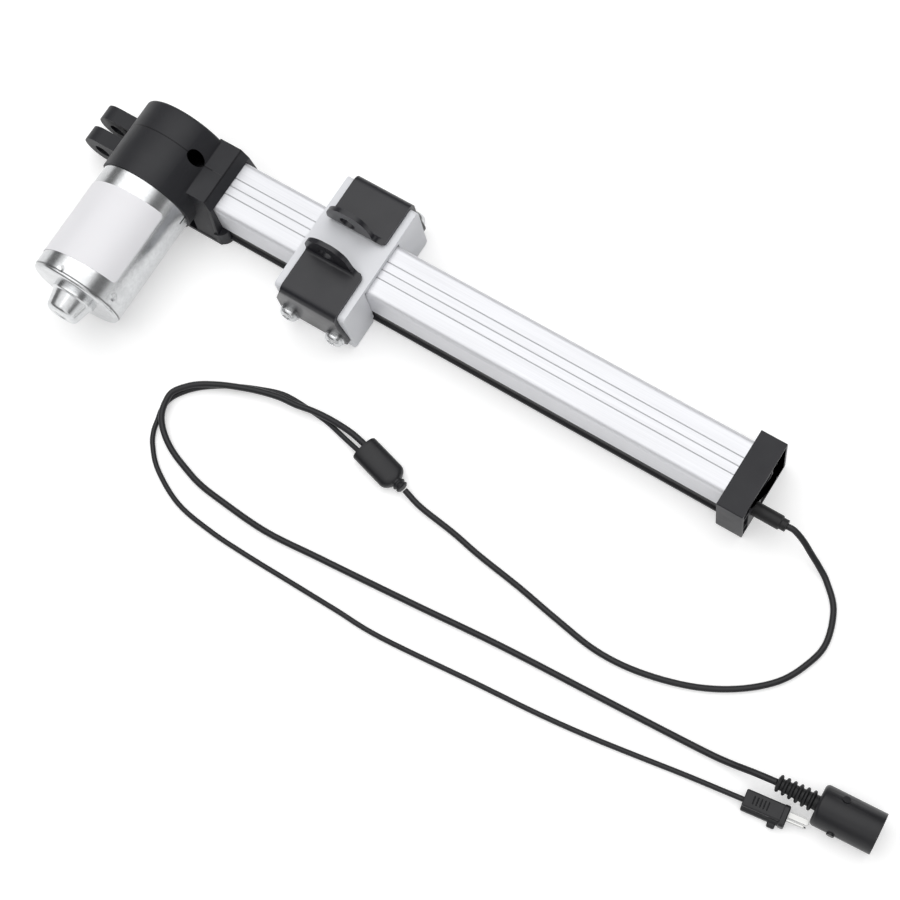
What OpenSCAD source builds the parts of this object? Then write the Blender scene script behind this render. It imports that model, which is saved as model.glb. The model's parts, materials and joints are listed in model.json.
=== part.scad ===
// Linear actuator. A motor turns a worm and wheel, the wheel turns a lead screw
// inside an aluminium profile, and the screw's nut drives a carriage along it.
// The origin is the centre of the rear clevis bore. X runs along the profile
// towards the end cap, Y across it, with the motor on the -Y side, and Z up.
// Sizes are in millimetres.

/* [Clevis] */
// Radius of the rear clevis bore
clevis_bore_r = 5.25; // [3.5:0.05:6]
// Gap between the clevis ears
clevis_gap = 6.6; // [4.6:0.2:9]
// Thickness of each clevis ear
ear_t = 10; // [8:0.5:12]
// Outer radius of the ears
ear_r = 13; // [11:0.5:13]
// Depth of the gap behind the bore
clevis_reach = 20; // [16:0.5:22]

/* [Gearbox] */
// Distance from the clevis bore to the motor's axis
motor_x = 54.7; // [54:0.1:57]
// Radius of the drum around the gears
drum_r = 31.8; // [31.6:0.1:34]
// Length of the drum on the motor's side
drum_near = 30; // [28:0.5:34]
// Half width of the housing on the far side
body_hw = 19.5; // [19:0.5:22]
// Depth of the housing's underside below the bore
base_drop = 13; // [13:0.5:15]
// Length of the collar that holds the profile
collar_l = 15.5; // [14:0.5:18]
// Height of the collar above the profile
collar_rise = 10; // [8:0.5:12]
// Thickness of the front flange
flange_t = 3; // [2.6:0.1:4]
// Radius of the round recess on the seam
recess_r = 4.4; // [3.5:0.1:5]
// Radius of the housing screws' shanks
housing_screw_r = 1.9; // [1.5:0.1:2.2]

/* [Gears and screw] */
// Height of the lead screw's axis above the bore
screw_z = 5; // [4.5:0.1:5.5]
// Radius of the lead screw over its thread
screw_r = 6; // [5:0.1:6.4]
// Radius of the lead screw's journals
journal_r = 4; // [3.5:0.1:4.5]
// Pitch radius of the worm wheel
wheel_r = 12.5; // [12.3:0.1:12.6]
// Number of teeth on the worm wheel
wheel_teeth = 25; // [20:1:32]
// Width of the worm wheel
wheel_w = 10; // [8:0.5:11]
// Pitch radius of the worm
worm_r = 4.5; // [4.4:0.1:4.6]
// Outer radius of the screw's bearings
bearing_r = 11; // [9.5:0.5:11.5]
// Width of the screw's bearings
bearing_w = 7; // [6:0.5:8]
// Gap between the worm and the wheel
mesh_gap = 0.2; // [0.1:0.05:0.3]
// Radial gap of a running fit
run_fit = 0.04; // [0.02:0.01:0.08]

/* [Motor] */
// Radius of the motor can
can_r = 30.5; // [29.5:0.1:31]
// Length of the motor can
can_l = 76.8; // [74:0.2:84]
// Thickness of the can's wall
can_t = 1.6; // [1:0.1:2]
// Radius of the can's rounded end
can_edge_r = 3.5; // [2:0.1:5]
// Radius of the bearing cup at its foot
cup_r = 14.4; // [12:0.1:15.5]
// Radius of the bearing cup at its tip
cup_tip_r = 10.2; // [9:0.1:11]
// Length of the bearing cup
cup_l = 15.5; // [13:0.5:18]
// Thickness of the magnets
magnet_t = 5; // [3:0.5:6]
// Radius of the motor's shaft
shaft_r = 3; // [2.5:0.1:3.5]
// Radius of the armature
armature_r = 22.8; // [19:0.1:23]
// Number of slots in the armature
armature_slots = 12; // [8:1:16]
// Thickness of the label
label_t = 0.15; // [0.1:0.05:0.3]
// Width of the label along the can
label_w = 52; // [40:1:56]
// Angle that the label takes round the can
label_angle = 134; // [90:1:180]

/* [Profile] */
// Width of the aluminium profile
prof_w = 36.8; // [36:0.2:38]
// Height of the aluminium profile
prof_h = 26.5; // [26:0.1:28]
// Thickness of the profile's walls
prof_t = 2.5; // [2:0.1:2.6]
// Radius of the profile's top edges
prof_edge_r = 3.5; // [1:0.1:4]
// Where the profile ends, from the clevis bore
prof_end = 456; // [450:1:520]
// Number of grooves on the profile
groove_n = 3; // [1:1:5]
// Distance between the grooves
groove_pitch = 5.8; // [4:0.1:6]
// Width of each groove
groove_w = 0.8; // [0.4:0.1:1.2]
// Depth of each groove
groove_d = 0.5; // [0.3:0.1:0.8]
// Height of the lower rail
rail_h = 9.5; // [9:0.1:10]
// Gap between the profile and the lower rail
rail_gap = 1.5; // [1:0.1:1.8]
// Width of the slot in the lower rail
rail_slot = 10; // [9:0.2:11]
// How far the lower rail's foot stands out on each side
rail_foot = 1.5; // [0.8:0.1:2]

/* [Carriage] */
// Where the carriage starts, from the clevis bore
carriage_x = 161.4; // [125:0.2:380]
// Length of the carriage along the profile
carriage_l = 50.6; // [50:0.2:56]
// Width of the carriage
carriage_w = 82; // [76:0.5:90]
// Thickness of the carriage above the profile
carriage_top = 4; // [3:0.1:6]
// Depth of the carriage's underside below the bore
carriage_drop = 12.7; // [12.6:0.1:12.9]
// Gap between the carriage and the profile
slide_gap = 0.3; // [0.2:0.05:0.5]

/* [Brackets] */
// Thickness of the bracket's sheet
sheet_t = 3; // [2:0.1:4]
// Length of the brackets along the profile
bracket_l = 40; // [38:0.5:43]
// Gap between the brackets' lugs
lug_gap = 20.4; // [18:0.2:26]
// Radius of the holes in the lugs
lug_bore_r = 5.25; // [4:0.05:6]
// Height of the lugs' holes above the brackets' plates
lug_hole_rise = 7.5; // [6:0.1:9]
// Length of the brackets' outer legs
leg_drop = 34; // [30:0.5:38]
// Radius of the bracket screws' heads
bracket_head_r = 6.7; // [5.5:0.1:7]
// Height of the bracket screws' heads
bracket_head_h = 5.2; // [4:0.1:5.6]
// Radius of the bracket screws' shanks
bracket_screw_r = 2.9; // [2:0.1:3]

/* [End cap] */
// Length of the end cap
cap_l = 17; // [15:0.5:22]
// Width of the end cap
cap_w = 51; // [46:0.5:56]
// Depth of the pockets in the end cap
cap_pocket = 11; // [6:0.5:13]
// Length of the strain relief outside the cap
relief_l = 21; // [16:0.5:21]
// Radius of the strain relief at the cap
relief_r = 4.5; // [4:0.1:5.5]

/* [Cables] */
// Diameter of the cable from the actuator
main_d = 3.8; // [3.2:0.1:3.9]
// Diameter of the cable to the round socket
socket_cable_d = 4; // [3.6:0.1:4]
// Diameter of the cable to the two-pin plug
plug_cable_d = 3.2; // [2.8:0.1:3.2]
// Height of the cable splitter
splitter_h = 10; // [9:0.2:11]
// Width of the cable splitter
splitter_w = 17.5; // [16:0.5:20]
// Outer radius of the round socket
socket_r = 12.2; // [11.6:0.1:12.2]
// Length of the round socket
socket_l = 36; // [30:0.5:42]
// Thickness of the round socket's wall
socket_t = 2.4; // [1.8:0.1:3]
// Number of contacts in the round socket
contact_n = 5; // [3:1:8]
// Number of ribs on the socket's boot
boot_ribs = 6; // [4:1:7]
// Length of the plug's body
plug_l = 25.5; // [24:0.5:27]
// Width of the plug's body
plug_w = 12; // [11:0.5:14]
// Height of the plug's body
plug_h = 10; // [9:0.5:11]

/* [Hidden] */
$fn = 64;
fit = 0.1;       // gap between pieces that sit in each other
seat = 0.02;     // radial gap of a seat that doesn't turn
over = 1;        // how far a cut runs past a face
cutter = 300;    // side of the block that halves the housing

// Heights
prof_top = 27;
prof_bottom = prof_top - prof_h;
rail_top = prof_bottom - rail_gap;
rail_bottom = rail_top - rail_h;
bridge_t = 1.9;
bridge_gap = 0.3;
carriage_bottom = rail_bottom - bridge_gap - bridge_t;
ground = carriage_bottom - 0.3;
motor_z = screw_z + wheel_r + worm_r;
collar_top = prof_top + collar_rise;

// Housing
sump_x = 20;
sump_top = screw_z;
collar_x = motor_x + 26.3;
flange_x = collar_x + collar_l;
collar_hw = max(body_hw + 0.9, prof_w / 2 + 1.5);
collar_low_hw = collar_hw + 4.8;
prof_x = flange_x - 6.5;
ledge_x = 70;
ledge_top = ground + 3.5;
lobe_r = 7.6;
lobe_top = 0;
drum_edge_r = 2;
recess_x = motor_x + 23.3;
recess_floor = motor_z + 3;
housing_screw_at = [
  [motor_x - 18.7, motor_z + 18], [motor_x + 12.3, motor_z + 21],
  [motor_x - 24.7, ground + 6], [motor_x + 21.3, ground + 6]
];
housing_screw_l = 36;
housing_head_r = housing_screw_r + 1.8;
housing_head_h = 2.6;
flange_pin_r = 1;
flange_pin_l = 5;
flange_pin_depth = 1.2;
flange_pin_x = flange_x + flange_pin_depth - flange_pin_l;
flange_pin_y = 13;
flange_pin_z = prof_top + 2.4;

// Screw and wheel
worm_tip_r = worm_r - 0.1;
wheel_tip_r = wheel_r + worm_r - worm_tip_r - mesh_gap;
tooth_h = 1.9;
hub_l = wheel_w + 5;
hub_r = journal_r + 2.5;
chamber_r = wheel_tip_r + 2.1;
bearing_front_x = motor_x + hub_l / 2;
bearing_rear_x = motor_x - hub_l / 2 - bearing_w;
lock_nut_h = 4.8;
lock_nut_r = journal_r + 3;
thread_x = bearing_front_x + bearing_w;
thread_end = prof_end - 14;
screw_end = prof_end - 3;

// Motor, measured along its axis from the housing's face
spigot_r = 11;
spigot_l = 4;
bush_r = shaft_r + 3.5;
bush_l = 6;
label_z = 12;
label_turn = 32;
plate_t = 3.5;
commutator_z = 6;
commutator_l = 9.5;
commutator_r = 9;
holder_l = 13;
holder_w = 9;
holder_h = 10;
brush_gap = 0.1;
magnet_z = 15;
magnet_l = can_l - 26.8;
core_z = magnet_z + 7;
core_l = magnet_l - 14;
winding_l = 6;
cup_edge_r = 3;
cup_bush_z = can_l + 7.2;
shaft_end_z = cup_bush_z + 5.3;
shaft_tip_z = -(drum_near + body_hw - 2.5);
worm_l = 20;
worm_pitch = 2 * PI * wheel_r / wheel_teeth;
tunnel_r = worm_tip_r + 2.6;

// Profile and rail
boss_y = prof_w / 2 - prof_t - 3;
boss_z = prof_top - prof_t - 3;
boss_r = 3;
boss_bore_r = 1.6;
prof_in = prof_w / 2 - prof_t;
rail_w = prof_w - 0.6;
rail_foot_hw = prof_w / 2 + rail_foot;
rail_foot_h = 2;
rail_floor = 2;
lip_in = prof_in - 2.3;
lip_top = screw_z;
rail_slot_x = flange_x + 7.5;
rail_slot_end = prof_end - 10;
switch_l = 12.8;
switch_w = 3.2;
switch_h = 5.8;
strip_w = 3;
strip_t = 0.8;

// Carriage and brackets
bracket_x = carriage_x + (carriage_l - bracket_l) / 2 + 0.5;
plate_z = prof_top + carriage_top;
leg_y = carriage_w / 2;
leg_x = carriage_x;
leg_end = carriage_x + carriage_l - 1;
outer_bend = sheet_t + 2.5;
lug_bend = sheet_t + 2;
lug_y = lug_gap / 2;
lug_x = bracket_x + 15.8;
lug_z = plate_z + sheet_t + lug_hole_rise;
lug_heel = [16.8, 3.5];
lug_heel_r = 16.8;
lug_nose = [19.3, 8.2];
lug_nose_r = 12.2;
lug_foot_r = 5;
plate_corner_r = 4;
leg_flare_back = 16;
leg_flare_front = [9, 27];
bracket_screw_x = [bracket_x + 2.4, bracket_x + bracket_l - 4.4];
bracket_screw_drop = 28;
bracket_screw_z = plate_z - bracket_screw_drop;
bracket_screw_l = 16;
carriage_edge_r = outer_bend - sheet_t + 0.5;
nut_l = carriage_l - 10;
nut_x = carriage_x + 5;
nut_fit = run_fit;
nut_low_y = screw_r + 3;
tongue_l = nut_l / 2;
tongue_x = nut_x + nut_l / 4;
bridge_margin = 8;
bridge_hw = 30;
bridge_screw_at = [
  for (sx = [0, 1]) for (sy = [-1, 1])
    [carriage_x + bridge_margin + 5 + sx * (carriage_l - 2 * bridge_margin - 10), sy * (bridge_hw - 5)]
];
bridge_screw_r = 1.6;
bridge_head_r = 3.3;
bridge_screw_l = 9;

// End cap
cap_hw = cap_w / 2;
cap_end = prof_end + cap_l;
spigot_x = prof_end - 10;
spigot_hw = lip_in - 0.3;
spigot_top = boss_z - boss_r - 0.4;
end_bush_r = journal_r + 2.5;
end_bush_l = 8;
cap_wall = 2;
cap_rib = 1.5;
cap_row_z = boss_z - 4.5;
cap_top_cols = [-23.5, -17.5, -16, -9, -7.5, 7.5, 9, 16, 17.5, 23.5];
cap_low_cols = [-23.5, -18.5, -3.5, 6, 7.5, 15, 16.5, 23.5];
cap_screw_r = 1.5;
cap_screw_l = 24;
cap_head_r = 2.7;
cap_head_h = 2;
relief_y = -11;
relief_z = 5.5;
relief_in_r = relief_r - 1.1;
relief_tip_r = relief_r - 0.85;

// Plugs, where they lie: start of each axis, its angle and its height
splitter_at = [267.8, -96.5];
splitter_angle = -15;
splitter_l = 30.4;
splitter_neck = 7;
splitter_z = ground + splitter_h / 2;
boot_at = [560.9, -139.1];
boot_angle = 3.5;
boot_l = 24.5;
boot_sink = 0.6;
boot_r = 3.6;
boot_rib_h = 1.5;
boot_flare = 1.1;
socket_at = [585.4, -137.6];
socket_angle = 4.2;
socket_z = ground + socket_r;
mouth_l = 12;
contact_ring_r = 5.2;
contact_r = 1.1;
plug_at = [549.8, -155.8];
plug_angle = 8;
plug_z = ground + plug_h / 2;
pin_l = 12;
pin_root = 5;
pin_w = 3.4;
pin_t = 1.1;
pin_y = [1.9, -1.3];
pin_z = 0.6;
plug_flange_l = 3.6;
plug_flange = 0.5;
plug_key_r = 2.2;
plug_key_l = 4.6;
plug_key_gap = 1;

// Points along each cable's centre line
main_route = [
  [494, -11, 5.5], [499, -11, 5.2], [506, -13, 2], [513, -16, -3], [520, -19, -8], [528, -24, -11],
  [539, -36, -11.1], [545, -55, -11.1], [542, -71, -11.1], [533, -88, -11.1], [515, -104, -11.1],
  [492, -116, -11.1], [463, -124, -11.1], [436, -126, -11.1], [407, -122, -11.1],
  [378, -117, -11.1], [349, -113, -11.1], [327, -109, -11.1], [303, -106, -9.6], [289.3, -102.3, -8]
];
socket_route = [
  [253.6, -90.8, -8], [241, -88.5, -7.8], [226, -88, -7.6], [213, -89, -7.6], [202, -91, -7.6],
  [191, -92, -7.6], [178, -95, -7.6], [166, -99, -7.6], [154, -104, -7.6], [143, -110, -7.6],
  [136, -116, -7.6], [131, -123, -7.6], [131, -130, -7.6], [133, -137, -7.8], [137, -143, -8.8],
  [144, -149, -10], [153, -154, -10.9], [164, -158, -11], [178, -162, -11], [195, -164, -11],
  [230, -166, -11], [267, -163, -11], [302, -160, -11], [335, -157, -11], [388, -152, -11],
  [452, -148, -11], [514, -144, -10.6], [533, -142.4, -8.2], [548, -140.6, -3.2], [560.9, -139.1, -0.8]
];
plug_route = [
  [252.1, -96, -8], [239, -93, -10.2], [226, -90, -11.4], [217, -89, -11.4], [199, -88, -11.4],
  [188, -89, -11.4], [176, -93, -11.4], [164, -98, -11.4], [153, -104, -11.4], [143, -111, -11.4],
  [136, -118, -11.4], [131, -126, -11.4], [130, -134, -11.4], [132, -142, -11.4],
  [134, -149, -11.4], [139, -157, -11.4], [151, -168, -11.4], [174, -179, -11.4],
  [201, -183, -11.4], [229, -184, -11.4], [262, -184, -11.4], [293, -184, -11.4],
  [325, -184, -11.4], [386, -178, -11.4], [429, -174, -11.4], [466, -169, -11.4],
  [513, -161, -11.2], [534.4, -157.9, -9.6], [549.8, -155.8, -8]
];

function unit(v) = v / norm(v);
function arc(cx, cy, r, from, to, n = 8) =
  [for (i = [0:n]) let (a = from + (to - from) * i / n) [cx + r * cos(a), cy + r * sin(a)]];
function round_rect(x0, y0, x1, y1, r) = concat(
  arc(x1 - r, y1 - r, r, 0, 90), arc(x0 + r, y1 - r, r, 90, 180),
  arc(x0 + r, y0 + r, r, 180, 270), arc(x1 - r, y0 + r, r, 270, 360)
);
function ring(p, t, r, n) =
  let (side = unit(cross(t, [0, 0, 1])), up = cross(side, t))
  [for (k = [0:n - 1]) let (a = 360 * (k + 0.5) / n) p + r * (cos(a) * side + sin(a) * up)];

// Places the children's z axis along the motor, away from the gearbox
module on_motor() {
  translate([motor_x, -drum_near, motor_z]) rotate([90, 0, 0]) children();
}

// Places the children's z axis along +X
module on_x(x, y, z) {
  translate([x, y, z]) rotate([0, 90, 0]) children();
}

// Places the children's z axis along -Y
module on_y(x, y, z) {
  translate([x, y, z]) rotate([90, 0, 0]) children();
}

// Extrudes an outline given in Y and Z along X
module along_x(x, l) {
  translate([x, 0, 0]) rotate([90, 0, 90]) linear_extrude(l) children();
}

// Extrudes an outline given in X and Z along Y, from y to y + l
module along_y(y, l) {
  translate([0, y + l, 0]) rotate([90, 0, 0]) linear_extrude(l) children();
}

module tube(r_out, r_in, l) {
  difference() {
    cylinder(r = r_out, h = l);
    translate([0, 0, -over]) cylinder(r = r_in, h = l + 2 * over);
  }
}

// A round cable along a route of points
module cable(route, d, sides) {
  last = len(route) - 1;
  points = [
    for (i = [0:last])
      let (t = unit(route[min(i + 1, last)] - route[max(i - 1, 0)]))
      each ring(route[i], t, d / 2, sides)
  ];
  faces = concat(
    [[for (k = [sides - 1:-1:0]) k]],
    [[for (k = [0:sides - 1]) last * sides + k]],
    [
      for (i = [0:last - 1]) for (k = [0:sides - 1])
        let (a = i * sides + k, b = i * sides + (k + 1) % sides)
        each [[a, b, b + sides], [a, b + sides, a + sides]]
    ]
  );
  polyhedron(points, faces, convexity = 8);
}

// The collar's outline in Y and Z
module collar_section() {
  polygon([
    [-collar_low_hw, ground], [collar_low_hw, ground], [collar_hw, collar_top], [-collar_hw, collar_top]
  ]);
}

// The room that the profile and the rail take, down to the height low
module rail_space(x, l, gap, low) {
  foot = rail_foot_hw + gap;
  foot_z = rail_bottom + rail_foot_h + gap;
  side = prof_w / 2 + gap;
  top = prof_top + gap;
  along_x(x, l) polygon([
    [-foot, low], [foot, low], [foot, foot_z], [side, foot_z],
    [side, top], [-side, top], [-side, foot_z], [-foot, foot_z]
  ]);
}

// The housing as one solid, before it is split on its seam
module housing_outer() {
  on_y(motor_x, body_hw, motor_z)
    rotate_extrude($fn = 128)
      polygon(concat(
        [[0, 0]], arc(drum_r - drum_edge_r, drum_edge_r, drum_edge_r, -90, 0),
        [[drum_r, body_hw + drum_near], [0, body_hw + drum_near]]
      ));
  translate([sump_x, -body_hw, ground])
    cube([collar_x - sump_x + over, 2 * body_hw, sump_top - ground]);
  along_x(collar_x, collar_l) collar_section();
  translate([ledge_x, -collar_low_hw, ground])
    cube([flange_x - ledge_x, collar_low_hw, ledge_top - ground]);
  for (s = [0, 1]) mirror([0, s, 0]) clevis_ear();
}

module clevis_ear() {
  y0 = clevis_gap / 2;
  on_y(0, y0 + ear_t, 0) cylinder(r = ear_r, h = ear_t, $fn = 96);
  translate([0, y0, -ear_r]) cube([motor_x - 10, ear_t, 2 * ear_r]);
}

// Triangular pockets that leave crossed ribs on the ears' inner faces
module ear_pockets() {
  x0 = clevis_bore_r + 3.2;
  x1 = clevis_reach - 1.5;
  xm = (x0 + x1) / 2;
  h = ear_r - 3;
  along_y(clevis_gap / 2 - over, 6 + over) {
    polygon([[x0, h], [x1, h], [xm, 1.6]]);
    polygon([[x0, -h], [xm, -1.6], [x1, -h]]);
    polygon([[x1 + 0.4, h - 2.4], [x1 + 0.4, 2.4 - h], [xm + 1.2, 0]]);
  }
}

// Everything that is hollow in the housing
module housing_hollows() {
  on_y(0, cutter / 2, 0) cylinder(r = clevis_bore_r, h = cutter);
  translate([-ear_r - over, -clevis_gap / 2, -ear_r - over])
    cube([ear_r + over + clevis_reach, clevis_gap, 2 * (ear_r + over)]);
  for (s = [0, 1]) mirror([0, s, 0]) ear_pockets();
  // chamber of the worm wheel, its bearings' seats and the way out of the screw
  on_x(motor_x - wheel_w / 2 - 1, 0, screw_z) cylinder(r = chamber_r, h = wheel_w + 2);
  for (x = [bearing_front_x, bearing_rear_x])
    on_x(x, 0, screw_z) cylinder(r = bearing_r + seat, h = bearing_w);
  on_x(bearing_rear_x, 0, screw_z) cylinder(r = bearing_r - 2, h = thread_x - bearing_rear_x);
  on_x(bearing_rear_x - lock_nut_h - 2, 0, screw_z) cylinder(r = lock_nut_r + 1, h = lock_nut_h + 3);
  on_x(thread_x - over, 0, screw_z) cylinder(r = screw_r + 1, h = prof_x - thread_x + 2 * over);
  // tunnel of the worm, the far bush and the motor's spigot
  on_y(motor_x, body_hw - 2 - bush_l, motor_z) cylinder(r = tunnel_r, h = drum_near + body_hw);
  on_y(motor_x, body_hw - 2, motor_z) cylinder(r = bush_r + seat, h = bush_l + over);
  on_y(motor_x, spigot_l - drum_near, motor_z) cylinder(r = spigot_r + fit, h = spigot_l + over);
  rail_space(prof_x, flange_x - prof_x + over, fit, rail_bottom - fit);
  translate([recess_x, 0, recess_floor]) cylinder(r = recess_r, h = drum_r);
  for (s = [-1, 1])
    on_x(flange_pin_x, s * flange_pin_y, flange_pin_z) cylinder(r = flange_pin_r + seat, h = flange_pin_l);
  for (p = housing_screw_at) {
    on_y(p[0], body_hw + over, p[1]) cylinder(r = housing_screw_r + seat, h = housing_screw_l + over);
    on_y(p[0], body_hw + over, p[1]) cylinder(r = housing_head_r + fit, h = housing_head_h + over);
  }
}

module gear_housing_near() {
  color("#26272b") difference() {
    housing_outer();
    translate([-cutter / 2, 0, -cutter / 2]) cube(cutter);
    housing_hollows();
  }
}

module gear_housing_far() {
  color("#26272b") difference() {
    housing_outer();
    translate([-cutter / 2, -cutter, -cutter / 2]) cube(cutter);
    housing_hollows();
  }
}

module housing_screws() {
  color("#8d9095") for (p = housing_screw_at)
    on_y(p[0], body_hw - 0.3, p[1]) difference() {
      union() {
        cylinder(r = housing_head_r, h = housing_head_h - 0.3);
        cylinder(r = housing_screw_r, h = housing_screw_l - 1);
      }
      translate([0, 0, -over]) cylinder(r = 1.6, h = 1.4 + over, $fn = 6);
    }
}

module front_flange() {
  color("#232428") difference() {
    union() {
      intersection() {
        along_y(-collar_low_hw, 2 * collar_low_hw) polygon([
          [flange_x, ground], [flange_x + flange_t, ground],
          [flange_x + flange_t, prof_top + 0.8], [flange_x, collar_top]
        ]);
        along_x(flange_x, flange_t) collar_section();
      }
      translate([0, 0, ground]) linear_extrude(lobe_top - ground) polygon(concat(
        arc(flange_x, lobe_r - collar_low_hw, lobe_r, -90, 0),
        arc(flange_x, collar_low_hw - lobe_r, lobe_r, 0, 90)
      ));
    }
    rail_space(flange_x - over, lobe_r + 2 * over, fit, rail_bottom - fit);
    for (s = [-1, 1]) on_x(flange_x - over, s * flange_pin_y, flange_pin_z)
      cylinder(r = flange_pin_r + seat, h = flange_pin_depth + over);
  }
}

module flange_pins() {
  color("#9a9da1") for (s = [-1, 1])
    on_x(flange_pin_x, s * flange_pin_y, flange_pin_z) cylinder(r = flange_pin_r, h = flange_pin_l);
}

module motor_can() {
  color("#c3c6c9") on_motor() rotate_extrude($fn = 128) polygon(concat(
    [[can_r - can_t, 0], [can_r, 0]],
    arc(can_r - can_edge_r, can_l - can_edge_r, can_edge_r, 0, 90),
    [[cup_tip_r, can_l], [cup_tip_r, can_l - can_t], [can_r - can_t, can_l - can_t]]
  ));
}

module bearing_cup() {
  foot = 3.2;
  color("#b9bcc0") on_motor() rotate_extrude($fn = 96) polygon(concat(
    [[cup_r - 1.6, can_l], [cup_r, can_l], [cup_r, can_l + foot]],
    arc(cup_tip_r - cup_edge_r, can_l + cup_l - cup_edge_r, cup_edge_r, 15, 90),
    [
      [0, can_l + cup_l], [0, can_l + cup_l - 1.4], [bush_r + seat, can_l + cup_l - 1.4],
      [bush_r + seat, cup_bush_z - 0.2], [cup_r - 1.6, can_l + foot]
    ]
  ));
}

module motor_magnets() {
  r1 = can_r - can_t - 0.05;
  color("#3a3a3e") on_motor() for (a = [25, 205])
    translate([0, 0, magnet_z]) rotate([0, 0, a])
      rotate_extrude(angle = 130) polygon([
        [r1 - magnet_t, 0], [r1, 0], [r1, magnet_l], [r1 - magnet_t, magnet_l]
      ]);
}

module motor_label() {
  color("#f4f4f2") on_motor() translate([0, 0, label_z]) rotate([0, 0, label_turn])
    rotate_extrude(angle = label_angle, $fn = 128) polygon([
      [can_r + seat, 0], [can_r + seat + label_t, 0],
      [can_r + seat + label_t, label_w], [can_r + seat, label_w]
    ]);
}

module brush_plate() {
  color("#3c3430") on_motor() difference() {
    union() {
      translate([0, 0, -spigot_l]) cylinder(r = spigot_r, h = spigot_l + over);
      cylinder(r = can_r - can_t - fit, h = plate_t);
      for (s = [0, 1]) rotate([0, 0, 180 * s])
        translate([commutator_r + 1, -holder_w / 2, plate_t - over]) cube([holder_l, holder_w, holder_h]);
    }
    translate([0, 0, -spigot_l - over]) cylinder(r = bush_r + seat, h = bush_l + over);
    translate([0, 0, -over]) cylinder(r = shaft_r + 1, h = plate_t + 2 * over);
    for (s = [0, 1]) rotate([0, 0, 180 * s])
      translate([commutator_r, -2.5 - fit, commutator_z]) cube([holder_l - 0.5, 5 + 2 * fit, 5 + fit]);
  }
}

module brushes() {
  color("#2b2b2d") on_motor() for (s = [0, 1]) rotate([0, 0, 180 * s])
    translate([commutator_r + brush_gap, -2.5, commutator_z]) cube([holder_l - 2, 5, 5]);
}

module shaft_bushes() {
  color("#b08a4a") on_motor()
    for (z = [cup_bush_z, -spigot_l, -(drum_near + body_hw - 2)])
      translate([0, 0, z]) tube(bush_r, shaft_r + run_fit, bush_l);
}

// The motor's shaft with the worm on its end
module motor_shaft() {
  grooves = floor(worm_l / worm_pitch);
  worm_z = -drum_near - worm_l / 2;
  color("#a9acb0") on_motor() {
    translate([0, 0, shaft_tip_z]) cylinder(r = shaft_r, h = shaft_end_z - shaft_tip_z);
    translate([0, 0, worm_z]) rotate_extrude() polygon(concat(
      [[0, 0], [worm_tip_r, 0]],
      [
        for (i = [0:grooves - 1]) let (z = (i + 0.25) * worm_pitch)
          each [
            [worm_tip_r, z], [shaft_r + 0.4, z + 0.5],
            [shaft_r + 0.4, z + 1.1], [worm_tip_r, z + 1.6]
          ]
      ],
      [[worm_tip_r, worm_l], [0, worm_l]]
    ));
  }
}

module armature_core() {
  color("#55565a") on_motor() translate([0, 0, core_z]) linear_extrude(core_l) difference() {
    circle(r = armature_r, $fn = 96);
    circle(r = shaft_r + seat);
    for (i = [0:armature_slots - 1]) rotate(i * 360 / armature_slots) {
      translate([armature_r * 0.72, -0.9]) square([armature_r, 1.8]);
      translate([armature_r * 0.7, 0]) circle(r = armature_r * 0.1, $fn = 24);
    }
  }
}

module armature_windings() {
  color("#b5651d") on_motor() for (z = [core_z - winding_l, core_z + core_l])
    translate([0, 0, z]) tube(armature_r * 0.86, shaft_r + seat, winding_l);
}

module commutator() {
  color("#b87333") on_motor() translate([0, 0, commutator_z]) linear_extrude(commutator_l) difference() {
    circle(r = commutator_r);
    circle(r = shaft_r + seat);
    for (i = [0:armature_slots - 1]) rotate((i + 0.5) * 360 / armature_slots)
      translate([commutator_r - 1, -0.25]) square([2, 0.5]);
  }
}

module lead_screw() {
  x0 = bearing_rear_x - lock_nut_h - 1;
  color("#9fa2a6") {
    on_x(x0, 0, screw_z) cylinder(r = journal_r, h = screw_end - x0);
    on_x(thread_x, 0, screw_z) cylinder(r = screw_r, h = thread_end - thread_x);
  }
}

module worm_wheel() {
  w = 2 * PI * wheel_tip_r / wheel_teeth;
  color("#e9e4d6") difference() {
    union() {
      on_x(motor_x - wheel_w / 2, 0, screw_z) linear_extrude(wheel_w) difference() {
        circle(r = wheel_tip_r);
        for (i = [0:wheel_teeth - 1]) rotate(i * 360 / wheel_teeth)
          polygon([
            [wheel_tip_r + 1, -0.42 * w], [wheel_tip_r + 1, 0.42 * w],
            [wheel_tip_r - tooth_h, 0.16 * w], [wheel_tip_r - tooth_h, -0.16 * w]
          ]);
      }
      on_x(motor_x - hub_l / 2, 0, screw_z) cylinder(r = hub_r, h = hub_l);
    }
    on_x(motor_x - hub_l, 0, screw_z) cylinder(r = journal_r + seat, h = 2 * hub_l);
  }
}

module lock_nut() {
  color("#a5a7aa") on_x(bearing_rear_x - lock_nut_h, 0, screw_z) difference() {
    cylinder(r = lock_nut_r, h = lock_nut_h - 0.1, $fn = 6);
    translate([0, 0, -over]) cylinder(r = journal_r + seat, h = lock_nut_h + 2 * over);
  }
}

module spindle_bearings() {
  color("#8f9296") for (x = [bearing_front_x, bearing_rear_x])
    on_x(x, 0, screw_z) difference() {
      tube(bearing_r, journal_r + run_fit, bearing_w);
      for (z = [-over, bearing_w - 1]) translate([0, 0, z])
        tube(bearing_r - 2, journal_r + 2.2, 1 + over);
    }
}

module end_bush() {
  color("#b08a4a") on_x(prof_end - end_bush_l, 0, screw_z)
    tube(end_bush_r, journal_r + run_fit, end_bush_l);
}

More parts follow.
